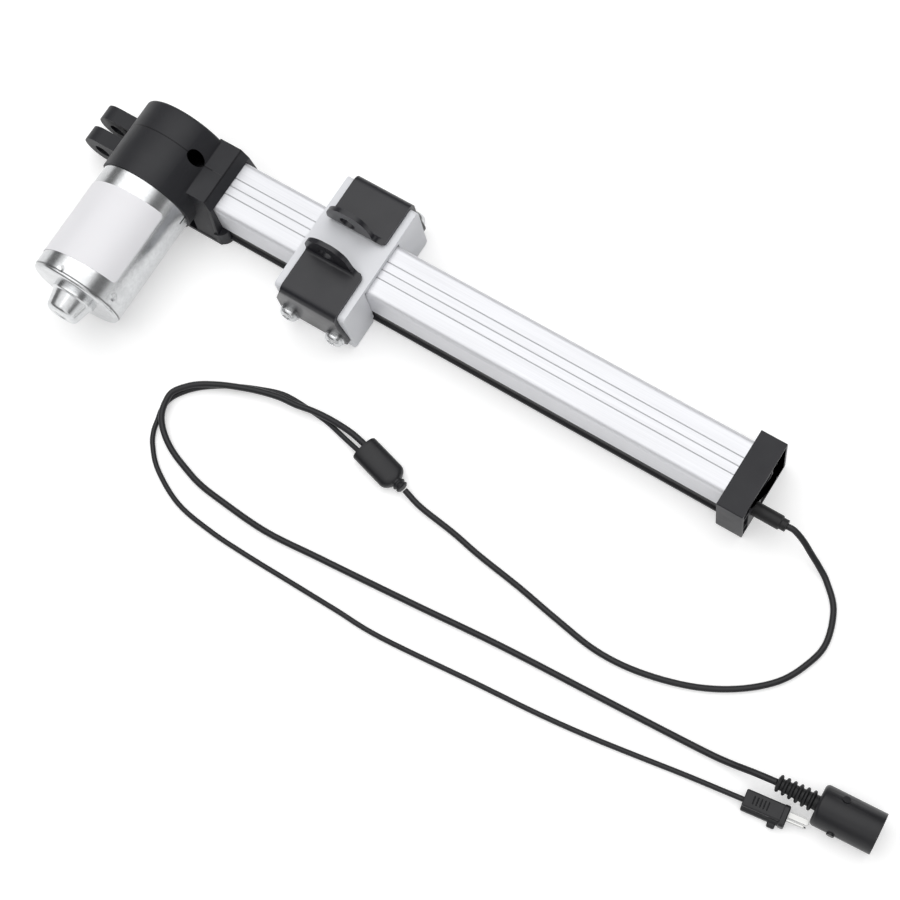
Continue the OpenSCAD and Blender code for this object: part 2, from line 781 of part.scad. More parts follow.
module aluminium_profile() {
  hw = prof_w / 2;
  first = -(groove_n - 1) / 2 * groove_pitch;
  color("#dfe1e3") along_x(prof_x, prof_end - prof_x) difference() {
    union() {
      difference() {
        polygon(concat(
          [[-hw, prof_bottom], [hw, prof_bottom]],
          arc(hw - prof_edge_r, prof_top - prof_edge_r, prof_edge_r, 0, 90),
          arc(prof_edge_r - hw, prof_top - prof_edge_r, prof_edge_r, 90, 180)
        ));
        translate([-prof_in, prof_bottom - over])
          square([2 * prof_in, prof_h - prof_t + over]);
      }
      for (s = [-1, 1]) translate([s * boss_y, boss_z]) circle(r = boss_r + 0.2);
    }
    for (s = [-1, 1]) translate([s * boss_y, boss_z]) circle(r = boss_bore_r);
    for (i = [0:groove_n - 1])
      translate([first + i * groove_pitch - groove_w / 2, prof_top - groove_d])
        square([groove_w, groove_d + over]);
  }
}

module lower_rail() {
  hw = rail_w / 2;
  floor_z = rail_bottom + rail_floor;
  color("#1f2023") difference() {
    along_x(prof_x, prof_end - prof_x) polygon([
      [-rail_foot_hw, rail_bottom], [rail_foot_hw, rail_bottom],
      [rail_foot_hw, rail_bottom + rail_foot_h], [hw, rail_bottom + rail_foot_h], [hw, rail_top],
      [prof_in - fit, rail_top], [prof_in - fit, lip_top], [lip_in, lip_top], [lip_in, floor_z],
      [-lip_in, floor_z], [-lip_in, lip_top], [fit - prof_in, lip_top], [fit - prof_in, rail_top],
      [-hw, rail_top], [-hw, rail_bottom + rail_foot_h], [-rail_foot_hw, rail_bottom + rail_foot_h]
    ]);
    translate([rail_slot_x, -rail_slot / 2, rail_bottom - over])
      cube([rail_slot_end - rail_slot_x, rail_slot, rail_floor + 2 * over]);
  }
}

module limit_switches() {
  floor_z = rail_bottom + rail_floor;
  color("#2a2a2c") for (x = [rail_slot_x + 4, rail_slot_end - switch_l - 4])
    translate([x, -lip_in + 0.1, floor_z]) {
      cube([switch_l, switch_w, switch_h]);
      translate([switch_l / 2 - 0.75, 0.9, switch_h]) cube([1.5, 1.4, 0.8]);
    }
}

module harness_strip() {
  color("#3a3a3d") translate([prof_x + 2, lip_in - strip_w - 0.2, rail_bottom + rail_floor])
    cube([spigot_x - prof_x - 3, strip_w, strip_t]);
}

// Cuts the pockets between two neighbouring ribs of the cap's outer face
module cap_pockets(cols, z0, z1) {
  for (i = [0:2:len(cols) - 2])
    translate([cap_end - cap_pocket, cols[i], z0])
      cube([cap_pocket + over, cols[i + 1] - cols[i], z1 - z0]);
}

module end_cap() {
  shift = cap_hw - 25.5;
  top_cols = concat([cap_top_cols[0] - shift], [for (i = [1:8]) cap_top_cols[i]], [cap_top_cols[9] + shift]);
  low_cols = concat([cap_low_cols[0] - shift], [for (i = [1:6]) cap_low_cols[i]], [cap_low_cols[7] + shift]);
  color("#25262a") difference() {
    union() {
      along_x(prof_end, cap_l) polygon(round_rect(-cap_hw, ground, cap_hw, prof_top, 0.8));
      translate([spigot_x, -spigot_hw, rail_bottom + rail_floor + 0.3])
        cube([prof_end - spigot_x + over, 2 * spigot_hw, spigot_top - rail_bottom - rail_floor - 0.3]);
    }
    on_x(spigot_x - over, 0, screw_z) cylinder(r = journal_r + 1, h = screw_end - spigot_x + over + 0.5);
    on_x(prof_end - end_bush_l, 0, screw_z) cylinder(r = end_bush_r + seat, h = end_bush_l);
    on_x(spigot_x - over, 0, screw_z) cylinder(r = end_bush_r + seat, h = over + 3);
    cap_pockets(top_cols, cap_row_z, prof_top - cap_wall);
    cap_pockets(low_cols, ground + cap_wall, cap_row_z - cap_rib);
    for (s = [-1, 1])
      on_x(prof_end - over, s * boss_y, boss_z) cylinder(r = cap_screw_r + seat, h = cap_l);
    on_x(cap_end - cap_pocket - 3, relief_y, relief_z) cylinder(r = relief_in_r + seat, h = cap_l);
  }
}

module end_cap_screws() {
  x1 = cap_end - cap_pocket;
  color("#a3a6aa") for (s = [-1, 1]) difference() {
    union() {
      on_x(x1, s * boss_y, boss_z) cylinder(r = cap_head_r, h = cap_head_h);
      on_x(x1 - cap_screw_l, s * boss_y, boss_z) cylinder(r = cap_screw_r, h = cap_screw_l + over);
    }
    translate([x1 + 1, s * boss_y - 2, boss_z - 0.4]) cube([2, 4, 0.8]);
    translate([x1 + 1, s * boss_y - 0.4, boss_z - 2]) cube([2, 0.8, 4]);
  }
}

module strain_relief() {
  color("#1d1e21") on_x(cap_end, relief_y, relief_z) rotate_extrude() polygon([
    [0, -cap_pocket - 2.5], [relief_in_r, -cap_pocket - 2.5], [relief_in_r, 0], [relief_r, 0],
    [relief_r, relief_l - 4], [relief_tip_r, relief_l - 3.4], [relief_tip_r, relief_l], [0, relief_l]
  ]);
}

module carriage_block() {
  color("#eceded") difference() {
    along_x(carriage_x, carriage_l) polygon(round_rect(-leg_y, carriage_bottom, leg_y, plate_z, carriage_edge_r));
    rail_space(carriage_x - over, carriage_l + 2 * over, slide_gap, carriage_bottom - over);
    translate([carriage_x + bridge_margin - fit, -bridge_hw - fit, carriage_bottom - over])
      cube([carriage_l - 2 * bridge_margin + 2 * fit, 2 * (bridge_hw + fit), bridge_t + over]);
    for (x = bracket_screw_x) on_y(x, leg_y + over, bracket_screw_z)
      cylinder(r = bracket_screw_r + seat, h = bracket_screw_l + over);
    for (x = bracket_screw_x) on_y(x, bracket_screw_l - leg_y, bracket_screw_z)
      cylinder(r = bracket_screw_r + seat, h = bracket_screw_l + over);
    for (p = bridge_screw_at) translate([p[0], p[1], carriage_bottom])
      cylinder(r = bridge_screw_r + seat, h = bridge_screw_l + over);
  }
}

// A bent sheet with a lug inside, a plate on top and a leg outside, on the +Y side
module bracket() {
  y1 = leg_y + sheet_t;
  z1 = plate_z + sheet_t;
  x0 = bracket_x;
  x1 = bracket_x + bracket_l;
  leg_z = plate_z - leg_drop;
  corner = plate_corner_r;
  difference() {
    intersection() {
      along_x(leg_x, leg_end - leg_x) polygon(concat(
        [[y1, leg_z]],
        arc(y1 - outer_bend, z1 - outer_bend, outer_bend, 0, 90),
        arc(lug_y + lug_bend, plate_z + lug_bend, lug_bend - sheet_t, 270, 180),
        [[lug_y + sheet_t, lug_z + 20], [lug_y, lug_z + 20]],
        arc(lug_y + lug_bend, plate_z + lug_bend, lug_bend, 180, 270),
        arc(y1 - outer_bend, z1 - outer_bend, outer_bend - sheet_t, 90, 0),
        [[leg_y, leg_z]]
      ));
      union() {
        along_y(0, y1 + over) polygon(concat(
          [[x1, z1], [x0, z1], [x0, plate_z], [leg_x, plate_z - leg_flare_back]],
          arc(leg_x + corner, leg_z + corner, corner, 180, 270),
          arc(leg_end - corner, leg_z + corner, corner, 270, 360),
          [[leg_end, plate_z - leg_flare_front[1]], [x1, plate_z - leg_flare_front[0]]]
        ));
        along_y(0, lug_y + lug_bend) polygon(concat(
          [[x0, plate_z]], arc(x0 + lug_heel[0], z1 + lug_heel[1], lug_heel_r, 180, 100),
          arc(x0 + lug_nose[0], z1 + lug_nose[1], lug_nose_r, 85, 12),
          arc(x1 - lug_foot_r / 2, z1 + lug_foot_r, lug_foot_r, 190, 270), [[x1, z1], [x1, plate_z]]
        ));
      }
    }
    difference() {
      translate([x1 - corner, lug_y - over, plate_z - over])
        cube([corner + over, corner + over, lug_z + 20 - plate_z]);
      translate([x1 - corner, lug_y + corner, 0]) cylinder(r = corner, h = lug_z + 20);
    }
    on_y(lug_x, lug_y + 10, lug_z) cylinder(r = lug_bore_r, h = 20);
    for (x = bracket_screw_x) on_y(x, y1 + over, bracket_screw_z)
      cylinder(r = bracket_screw_r + fit, h = sheet_t + 2 * over);
  }
}

module bracket_near() {
  color("#17181a") mirror([0, 1, 0]) bracket();
}

module bracket_far() {
  color("#17181a") bracket();
}

// A pan head with a crossed recess on a plain shank
module pan_screw() {
  difference() {
    union() {
      rotate_extrude() polygon(concat(
        [[0, 0], [bracket_head_r, 0], [bracket_head_r, bracket_head_h * 0.4]],
        arc(bracket_head_r * 0.45, bracket_head_h * 0.4, bracket_head_h * 0.6, 0, 90)
      ));
      translate([0, 0, 1 - bracket_screw_l]) cylinder(r = bracket_screw_r, h = bracket_screw_l);
    }
    for (a = [0, 90]) rotate([0, 0, a])
      translate([-bracket_head_r * 0.5, -0.55, bracket_head_h - 1.6]) cube([bracket_head_r, 1.1, 3]);
  }
}

module bracket_screws() {
  color("#c9ccd0") for (x = bracket_screw_x) for (s = [0, 1]) mirror([0, s, 0])
    translate([x, -leg_y - sheet_t, bracket_screw_z]) rotate([90, 0, 0]) pan_screw();
}

module spindle_nut() {
  y1 = prof_in - slide_gap;
  z0 = lip_top + slide_gap;
  z1 = boss_z - boss_r - 0.2 - slide_gap;
  low = rail_bottom + rail_floor + 0.5;
  color("#d8d6cc") difference() {
    union() {
      along_x(nut_x, nut_l) polygon([
        [-nut_low_y, low], [nut_low_y, low], [nut_low_y, z0], [y1, z0],
        [y1, z1], [-y1, z1], [-y1, z0], [-nut_low_y, z0]
      ]);
      translate([tongue_x, 0.4 - rail_slot / 2, carriage_bottom + 0.1])
        cube([tongue_l, rail_slot - 0.8, low - carriage_bottom]);
    }
    on_x(nut_x - over, 0, screw_z) cylinder(r = screw_r + nut_fit, h = nut_l + 2 * over);
  }
}

module nut_bridge() {
  x0 = carriage_x + bridge_margin;
  color("#9b9ea2") difference() {
    translate([x0, -bridge_hw, carriage_bottom])
      cube([carriage_l - 2 * bridge_margin, 2 * bridge_hw, bridge_t]);
    translate([tongue_x - fit, 0.4 - fit - rail_slot / 2, carriage_bottom - over])
      cube([tongue_l + 2 * fit, rail_slot - 0.8 + 2 * fit, bridge_t + 2 * over]);
    for (p = bridge_screw_at) translate([p[0], p[1], carriage_bottom]) {
      translate([0, 0, -0.01]) cylinder(r1 = bridge_head_r + seat, r2 = bridge_screw_r + seat, h = bridge_t - 0.2);
      cylinder(r = bridge_screw_r + seat, h = bridge_t + over);
    }
  }
}

module bridge_screws() {
  color("#9fa2a6") for (p = bridge_screw_at) translate([p[0], p[1], carriage_bottom]) {
    cylinder(r1 = bridge_head_r, r2 = bridge_screw_r, h = bridge_t - 0.2);
    cylinder(r = bridge_screw_r, h = bridge_screw_l);
  }
}

module main_cable() {
  color("#1b1c1f") cable(main_route, main_d, 8);
}

module socket_cable() {
  color("#1b1c1f") cable(socket_route, socket_cable_d, 8);
}

module plug_cable() {
  color("#1b1c1f") cable(plug_route, plug_cable_d, 8);
}

module splitter() {
  color("#1c1d20") translate([splitter_at[0], splitter_at[1], splitter_z])
    rotate([0, 0, splitter_angle]) {
      translate([0, 0, -splitter_h / 2]) linear_extrude(splitter_h)
        polygon(round_rect(-splitter_l / 2, -splitter_w / 2, splitter_l / 2, splitter_w / 2, 4.2));
      on_x(splitter_l / 2 - over, 0, 0) cylinder(r1 = 4.6, r2 = main_d / 2 + 0.7, h = splitter_neck + over);
    }
}

module at_socket(along) {
  translate([socket_at[0], socket_at[1], socket_z]) rotate([0, 0, socket_angle]) on_x(along, 0, 0) children();
}

module socket_boot() {
  pitch = (boot_l - 1) / boot_ribs;
  color("#1a1b1e") translate([boot_at[0], boot_at[1], socket_z]) rotate([0, 0, boot_angle])
    on_x(0, 0, 0) rotate_extrude() polygon(concat(
      [[0, 0], [boot_r, 0]],
      [
        for (i = [0:boot_ribs - 1])
          let (z = 0.6 + i * pitch, r = boot_r + boot_flare * i / boot_ribs)
          each [[r, z], [r + boot_rib_h, z + 0.2], [r + boot_rib_h, z + 1.7], [r, z + 1.9]]
      ],
      [[boot_r + boot_flare, boot_l + boot_sink], [0, boot_l + boot_sink]]
    ));
}

module socket_shell() {
  back = 3;
  color("#191a1d") at_socket(0) {
    rotate_extrude($fn = 96) polygon(concat(
      [[0, 0]], arc(socket_r - 2.5, 2.5, 2.5, -90, 0),
      [[socket_r, socket_l], [socket_r - socket_t, socket_l], [socket_r - socket_t, back], [0, back]]
    ));
    for (a = [35, 155, 275]) rotate([0, 0, 180 - a])
      translate([socket_r - 0.4, 0, 13]) rotate([0, 90, 0]) cylinder(r = 2.3, h = 1.4);
  }
}

module socket_insert() {
  color("#2b2c30") at_socket(3) difference() {
    cylinder(r = socket_r - socket_t - seat, h = socket_l - 3 - mouth_l);
    for (i = [0:contact_n - 1]) rotate([0, 0, i * 360 / contact_n])
      translate([contact_ring_r, 0, 6]) cylinder(r = contact_r + 0.6, h = socket_l);
  }
}

module socket_contacts() {
  color("#c2a25a") at_socket(9) for (i = [0:contact_n - 1]) rotate([0, 0, i * 360 / contact_n])
    translate([contact_ring_r, 0, 0]) tube(contact_r + 0.55, contact_r, socket_l - 10 - mouth_l);
}

module at_plug() {
  translate([plug_at[0], plug_at[1], plug_z]) rotate([0, 0, plug_angle]) children();
}

// A flat pin with a round tip, lying flat or standing on its edge
module blade(l, gap = 0) {
  r = pin_w / 2 + gap;
  translate([0, 0, -pin_t / 2 - gap]) linear_extrude(pin_t + 2 * gap)
    polygon(concat([[0, r], [0, -r]], arc(l - pin_w / 2, 0, r, -90, 90)));
}

module both_blades(l, gap = 0) {
  translate([plug_l - pin_root, pin_y[0], pin_z]) blade(l, gap);
  translate([plug_l - pin_root, pin_y[1], pin_z]) rotate([90, 0, 0]) blade(l - 0.7, gap);
}

module two_pin_plug() {
  hw = plug_w / 2;
  hz = plug_h / 2;
  color("#1b1c1f") at_plug() difference() {
    union() {
      along_x(0, plug_l) polygon([
        [-hw, 1 - hz], [1 - hw, -hz], [hw - 1, -hz], [hw, 1 - hz],
        [hw, hz - 1.4], [hw - 1.4, hz], [3.2 - hw, hz], [1.4 - hw, 0.2], [-hw, -0.8]
      ]);
      along_x(plug_l - plug_flange_l, plug_flange_l)
        polygon(round_rect(-hw - plug_flange, -hz, hw + plug_flange, hz + plug_flange, 2.2));
      on_x(plug_l - plug_flange_l - plug_key_gap - plug_key_l, -hw - 0.4, plug_key_r - hz)
        cylinder(r = plug_key_r, h = plug_key_l);
      for (i = [0:4]) translate([5 + i * 2.1, -1.6, hz - over]) cube([0.9, 5.4, over + 0.4]);
    }
    both_blades(pin_root + pin_l, seat);
  }
}

module plug_pins() {
  color("#c8cacd") at_plug() both_blades(pin_root + pin_l);
}

gear_housing_near();
gear_housing_far();
housing_screws();
front_flange();
flange_pins();
motor_can();
bearing_cup();
motor_magnets();
motor_label();
brush_plate();
brushes();
shaft_bushes();
motor_shaft();
armature_core();
armature_windings();
commutator();
lead_screw();
worm_wheel();
lock_nut();
spindle_bearings();
end_bush();
aluminium_profile();
lower_rail();
limit_switches();
harness_strip();
end_cap();
end_cap_screws();
strain_relief();
carriage_block();
bracket_near();
bracket_far();
bracket_screws();
spindle_nut();
nut_bridge();
bridge_screws();
main_cable();
splitter();
socket_cable();
plug_cable();
socket_boot();
socket_shell();
socket_insert();
socket_contacts();
two_pin_plug();
plug_pins();
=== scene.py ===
"""Linear actuator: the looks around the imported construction.

The script gives each solid its finish and softens the edges of those that are seen. It makes the motor's
sheet metal, the label and the moulded parts of the cables anew, and lays the three cables at their real
length. Places are read from the construction's boxes. What a box doesn't tell is a named value below, and the
cables' routes repeat the construction's.
"""

import json
import math

import bmesh
import bpy
import numpy as np
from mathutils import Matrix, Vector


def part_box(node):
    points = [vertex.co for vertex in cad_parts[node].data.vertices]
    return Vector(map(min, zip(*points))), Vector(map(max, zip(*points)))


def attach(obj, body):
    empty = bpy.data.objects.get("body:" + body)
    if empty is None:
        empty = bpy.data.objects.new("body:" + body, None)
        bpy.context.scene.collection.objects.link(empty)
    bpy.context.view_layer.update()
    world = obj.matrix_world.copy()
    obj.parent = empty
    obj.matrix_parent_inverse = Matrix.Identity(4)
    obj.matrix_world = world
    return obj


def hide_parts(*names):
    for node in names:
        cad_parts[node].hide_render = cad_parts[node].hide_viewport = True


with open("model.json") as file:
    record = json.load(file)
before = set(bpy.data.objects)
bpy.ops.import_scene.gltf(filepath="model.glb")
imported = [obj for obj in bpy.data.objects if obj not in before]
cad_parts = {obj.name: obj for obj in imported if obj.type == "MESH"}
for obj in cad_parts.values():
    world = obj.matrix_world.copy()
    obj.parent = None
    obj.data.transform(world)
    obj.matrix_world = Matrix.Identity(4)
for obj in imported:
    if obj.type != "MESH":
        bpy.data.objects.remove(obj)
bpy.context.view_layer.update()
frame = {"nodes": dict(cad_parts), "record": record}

MM = 0.001
NODES = frame["nodes"]
BODY_OF = {node: body for body, nodes in frame["record"]["behaviour"]["bodies"].items() for node in nodes}
SLOT_OF = {part["node"]: part["material_slot"] for part in frame["record"]["subparts"]}


# ---------------------------------------------------------------- places and named values

def middle(node):
    """Centre of a node's box."""
    low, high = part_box(node)
    return (low + high) / 2


can_low, can_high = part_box("motor_can")
cup_low, cup_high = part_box("bearing_cup")
cap_low, cap_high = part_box("end_cap")
rail_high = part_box("aluminium_profile")[1]
GROUND = cap_low.z
MOTOR_X = middle("motor_can").x
MOTOR_Z = middle("motor_can").z
CAN_R = (can_high.x - can_low.x) / 2
CAN_L = can_high.y - can_low.y

# Dark joints on the housing, at the flange and between its halves above SEAM_LOW and up to SEAM_END, and
# painted shade that fills the round recess. A LINE is how far a line reaches to either side of its middle.
FLANGE_X = 96.5 * MM
FLANGE_LINE = 0.20 * MM
RECESS_X = 78.0 * MM
RECESS_R = 4.5 * MM
SEAM_LOW = 28 * MM
SEAM_END = 89 * MM
SEAM_LINE = 0.22 * MM

# Grooves in the profile's top, and how far inside its far side the edge begins to round. Painted shade
# darkens the grooves and a faint line on the far side where the edge begins to round.
GROOVE_PITCH = 5.8 * MM
GROOVE_SHADE_LINE = 0.22 * MM
RAIL_ROUND = 2.9 * MM
RAIL_ROUND_SHADE_LINE = 0.25 * MM
RAIL_SKIN = 2 * MM

# The can's rolled seam, before its end, and the slit in its open edge, above the motor's axis, both darkened
# with painted shade.
ROLL_BACK = 2.6 * MM
ROLL_SHADE_LINE = 0.30 * MM
SLIT_RISE = 1.6 * MM
SLIT_L = 6.0 * MM
SLIT_SHADE_LINE = 0.45 * MM

# Where the moulded parts of the cables lie on the table, in mm, and how far each is turned, in degrees.
SPLITTER_AT = (267.8, -96.5)
SPLITTER_ANGLE = -15
BOOT_AT = (560.9, -139.1)
BOOT_ANGLE = 3.5
PLUG_AT = (549.8, -155.8)
PLUG_ANGLE = 8

# The camera, the pale room and the table top. A room level is (cosine to the ceiling's axis, grey).
CAMERA_AT = (0.6081, -0.3037, 1.0888)
CAMERA_TURN = (18.319, 6.893, 32.685)
CAMERA_LENS = 78.14
OBJECT_MIDDLE = (0.28, -0.05, 0)
CEILING_AXIS = (-0.12, 0.06, 0.99)
CEILING_LEVEL = 1.15
ROOM_LEVELS = ((0.0, 0.80), (0.10, 0.70), (0.20, 0.17), (0.60, 0.17), (0.74, 1.0))
HORIZON = 0.08
TABLE_HALF = 6.0
TABLE_MIDDLE = (0.3, -0.07)
TABLE_GAP = 0.2 * MM
TABLE_GREY = 0.80
TABLE_GLOW = 0.36


# ---------------------------------------------------------------- camera, floor and light

def add_camera():
    """A long lens looking down on the object from its near side."""
    data = bpy.data.cameras.new("camera")
    data.lens = CAMERA_LENS
    data.sensor_width = 36
    data.clip_end = 20
    camera = bpy.data.objects.new("camera", data)
    camera.location = CAMERA_AT
    camera.rotation_euler = [math.radians(turn) for turn in CAMERA_TURN]
    bpy.context.scene.collection.objects.link(camera)
    bpy.context.scene.camera = camera


def add_area(name, place, aim, size, power):
    """A square soft box at a place, turned to aim."""
    data = bpy.data.lights.new(name, "AREA")
    data.size = size
    data.energy = power
    lamp = bpy.data.objects.new(name, data)
    lamp.location = place
    to_aim = np.array(aim) - np.array(place)
    flat = math.hypot(to_aim[0], to_aim[1])
    lamp.rotation_euler = (math.atan2(flat, -to_aim[2]), 0, math.atan2(-to_aim[0], to_aim[1]))
    bpy.context.scene.collection.objects.link(lamp)


def link_math(tree, operation, first, second):
    """A Math node whose inputs are sockets or numbers. Returns its output."""
    node = tree.nodes.new("ShaderNodeMath")
    node.operation = operation
    for socket, value in zip(node.inputs, (first, second)):
        if isinstance(value, (int, float)):
            socket.default_value = value
        else:
            tree.links.new(value, socket)
    return node.outputs[0]


def seen_directly(tree):
    """1 for rays that show the backdrop itself: from the camera, and off or through glossy things."""
    path = tree.nodes.new("ShaderNodeLightPath")
    mirrored = link_math(tree, "MAXIMUM", path.outputs["Is Glossy Ray"], path.outputs["Is Transmission Ray"])
    return path.outputs["Is Camera Ray"], mirrored


def set_world():
    """A pale room: a bright round ceiling, grey walls and a white horizon, and all white to the camera."""
    world = bpy.data.worlds.new("pale_room")
    bpy.context.scene.world = world
    world.use_nodes = True
    tree = world.node_tree
    nodes = tree.nodes
    links = tree.links
    nodes.clear()
    direction = nodes.new("ShaderNodeTexCoord")
    split = nodes.new("ShaderNodeSeparateXYZ")
    lean = nodes.new("ShaderNodeVectorMath")
    lean.operation = "DOT_PRODUCT"
    lean.inputs[1].default_value = CEILING_AXIS
    ramp = nodes.new("ShaderNodeValToRGB")
    stops = ramp.color_ramp.elements
    for i, (position, grey) in enumerate(ROOM_LEVELS):
        stop = stops[i] if i < 2 else stops.new(position)
        stop.position = position
        stop.color = (grey, grey, grey, 1)
    room = nodes.new("ShaderNodeBackground")
    room.inputs["Strength"].default_value = CEILING_LEVEL
    white = nodes.new("ShaderNodeBackground")
    white.inputs["Color"].default_value = (1, 1, 1, 1)
    mix = nodes.new("ShaderNodeMixShader")
    out = nodes.new("ShaderNodeOutputWorld")
    links.new(direction.outputs["Generated"], split.inputs["Vector"])
    links.new(direction.outputs["Generated"], lean.inputs[0])
    links.new(lean.outputs["Value"], ramp.inputs["Fac"])
    links.new(ramp.outputs["Color"], room.inputs["Color"])
    camera_ray, mirrored = seen_directly(tree)
    height = link_math(tree, "ABSOLUTE", split.outputs["Z"], 0.0)
    horizon = link_math(tree, "LESS_THAN", height, HORIZON)
    shown = link_math(tree, "MAXIMUM", camera_ray, link_math(tree, "MULTIPLY", mirrored, horizon))
    links.new(shown, mix.inputs["Fac"])
    links.new(room.outputs["Background"], mix.inputs[1])
    links.new(white.outputs["Background"], mix.inputs[2])
    links.new(mix.outputs["Shader"], out.inputs["Surface"])


def add_floor():
    """A plain pale table top that keeps a faint shadow."""
    mesh = bpy.data.meshes.new("table_top")
    corners = TABLE_HALF * np.array([(-1, -1, 0), (1, -1, 0), (1, 1, 0), (-1, 1, 0)])
    mesh.from_pydata((corners + (*TABLE_MIDDLE, GROUND - TABLE_GAP)).tolist(), [], [(0, 1, 2, 3)])
    floor = bpy.data.objects.new("table_top", mesh)
    bpy.context.scene.collection.objects.link(floor)
    material = bpy.data.materials.new("table_white")
    material.use_nodes = True
    nodes = material.node_tree.nodes
    links = material.node_tree.links
    nodes.clear()
    paper = nodes.new("ShaderNodeBsdfDiffuse")
    paper.inputs["Color"].default_value = (TABLE_GREY, TABLE_GREY, TABLE_GREY, 1)
    glow = nodes.new("ShaderNodeEmission")
    glow.inputs["Color"].default_value = (1, 1, 1, 1)
    camera_ray, mirrored = seen_directly(material.node_tree)
    shown = link_math(material.node_tree, "MAXIMUM", camera_ray, mirrored)
    strength = link_math(material.node_tree, "MULTIPLY", shown, TABLE_GLOW)
    both = nodes.new("ShaderNodeAddShader")
    out = nodes.new("ShaderNodeOutputMaterial")
    links.new(strength, glow.inputs["Strength"])
    links.new(paper.outputs["BSDF"], both.inputs[0])
    links.new(glow.outputs["Emission"], both.inputs[1])
    links.new(both.outputs["Shader"], out.inputs["Surface"])
    mesh.materials.append(material)


add_camera()
set_world()
add_area("overhead", (0.05, 0.25, 1.6), OBJECT_MIDDLE, size=1.9, power=9)
add_area("near_side", (0.9, -1.1, 0.9), OBJECT_MIDDLE, size=0.9, power=2)
add_floor()


# ---------------------------------------------------------------- shader groups

def new_group(name, inputs, outputs):
    """An empty shader group with float sockets, and its input and output nodes."""
    group = bpy.data.node_groups.new(name, "ShaderNodeTree")
    for label, value in inputs.items():
        socket = group.interface.new_socket(label, in_out="INPUT", socket_type="NodeSocketFloat")
        socket.default_value = value
    for label in outputs:
        group.interface.new_socket(label, in_out="OUTPUT", socket_type="NodeSocketFloat")
    return group, group.nodes.new("NodeGroupInput"), group.nodes.new("NodeGroupOutput")


def noise_node(tree, scale, stretch=(1, 1, 1), detail=3.0):
    """Noise on Object coordinates, in turns per metre, stretched along the axes. Returns its value."""
    place = tree.nodes.new("ShaderNodeTexCoord")
    mapping = tree.nodes.new("ShaderNodeMapping")
    mapping.inputs["Scale"].default_value = stretch
    noise = tree.nodes.new("ShaderNodeTexNoise")
    noise.inputs["Detail"].default_value = detail
    if isinstance(scale, (int, float)):
        noise.inputs["Scale"].default_value = scale
    else:
        tree.links.new(scale, noise.inputs["Scale"])
    tree.links.new(place.outputs["Object"], mapping.inputs["Vector"])
    tree.links.new(mapping.outputs["Vector"], noise.inputs["Vector"])
    return noise.outputs["Fac"]


def make_grain_group():
    """Moulded grain: fine noise for height, and slow noise for patches of more or less gloss."""
    inputs = {"Fine scale": 2500.0, "Patch scale": 40.0}
    group, entry, out = new_group("moulded_grain", inputs, ("Height", "Patches"))
    group.links.new(noise_node(group, entry.outputs["Fine scale"], detail=2), out.inputs["Height"])
    group.links.new(noise_node(group, entry.outputs["Patch scale"], detail=4), out.inputs["Patches"])
    return group


def make_edge_group():
    """Edge wear: how far the rounded normal leans from the true one, broken up by noise."""
    group, entry, out = new_group("edge_wear", {"Amount": 1.0, "Break scale": 900.0}, ("Mask",))
    bevel = group.nodes.new("ShaderNodeBevel")
    bevel.samples = 4
    bevel.inputs["Radius"].default_value = 0.6 * MM
    true = group.nodes.new("ShaderNodeNewGeometry")
    dot = group.nodes.new("ShaderNodeVectorMath")
    dot.operation = "DOT_PRODUCT"
    group.links.new(bevel.outputs["Normal"], dot.inputs[0])
    group.links.new(true.outputs["Normal"], dot.inputs[1])
    lean = link_math(group, "SUBTRACT", 1.0, dot.outputs["Value"])
    broken = link_math(group, "MULTIPLY", lean, noise_node(group, entry.outputs["Break scale"], detail=3))
    scaled = link_math(group, "MULTIPLY", broken, entry.outputs["Amount"])
    limited = link_math(group, "MINIMUM", scaled, 1.0)
    group.links.new(limited, out.inputs["Mask"])
    return group


def make_dust_group():
    """Dust: a thin pale veil on faces that look up, in soft patches."""
    group, entry, out = new_group("dust", {"Amount": 0.1, "Patch scale": 60.0}, ("Mask",))
    true = group.nodes.new("ShaderNodeNewGeometry")
    split = group.nodes.new("ShaderNodeSeparateXYZ")
    group.links.new(true.outputs["Normal"], split.inputs["Vector"])
    up = link_math(group, "MAXIMUM", split.outputs["Z"], 0.0)
    patches = link_math(group, "MULTIPLY", up, noise_node(group, entry.outputs["Patch scale"], detail=5))
    group.links.new(link_math(group, "MULTIPLY", patches, entry.outputs["Amount"]), out.inputs["Mask"])
    return group


def make_draw_group():
    """Drawn metal: noise pulled out into lines along X or Y, slow clouds, and a plating's small patches."""
    pulled = 0.01
    cloud_scale = 45
    spangle_scale = 420
    outputs = ("Along X", "Along Y", "Clouds", "Spangle")
    group, entry, out = new_group("drawn_lines", {"Scale": 900.0}, outputs)
    group.links.new(noise_node(group, entry.outputs["Scale"], (pulled, 1, 1)), out.inputs["Along X"])
    group.links.new(noise_node(group, entry.outputs["Scale"], (1, pulled, 1)), out.inputs["Along Y"])
    group.links.new(noise_node(group, cloud_scale, detail=5), out.inputs["Clouds"])
    group.links.new(noise_node(group, spangle_scale, detail=3), out.inputs["Spangle"])
    return group


GRAIN = make_grain_group()
EDGES = make_edge_group()
DUST = make_dust_group()
DRAWN = make_draw_group()


# ---------------------------------------------------------------- materials

NOISE_LOW = 0.3
NOISE_HIGH = 0.7
DUST_COLOR = (0.35, 0.35, 0.35)
# Black for dark joints and for painted shade.
JOINT_AND_SHADE_BLACK = (0.0008, 0.0008, 0.0010)


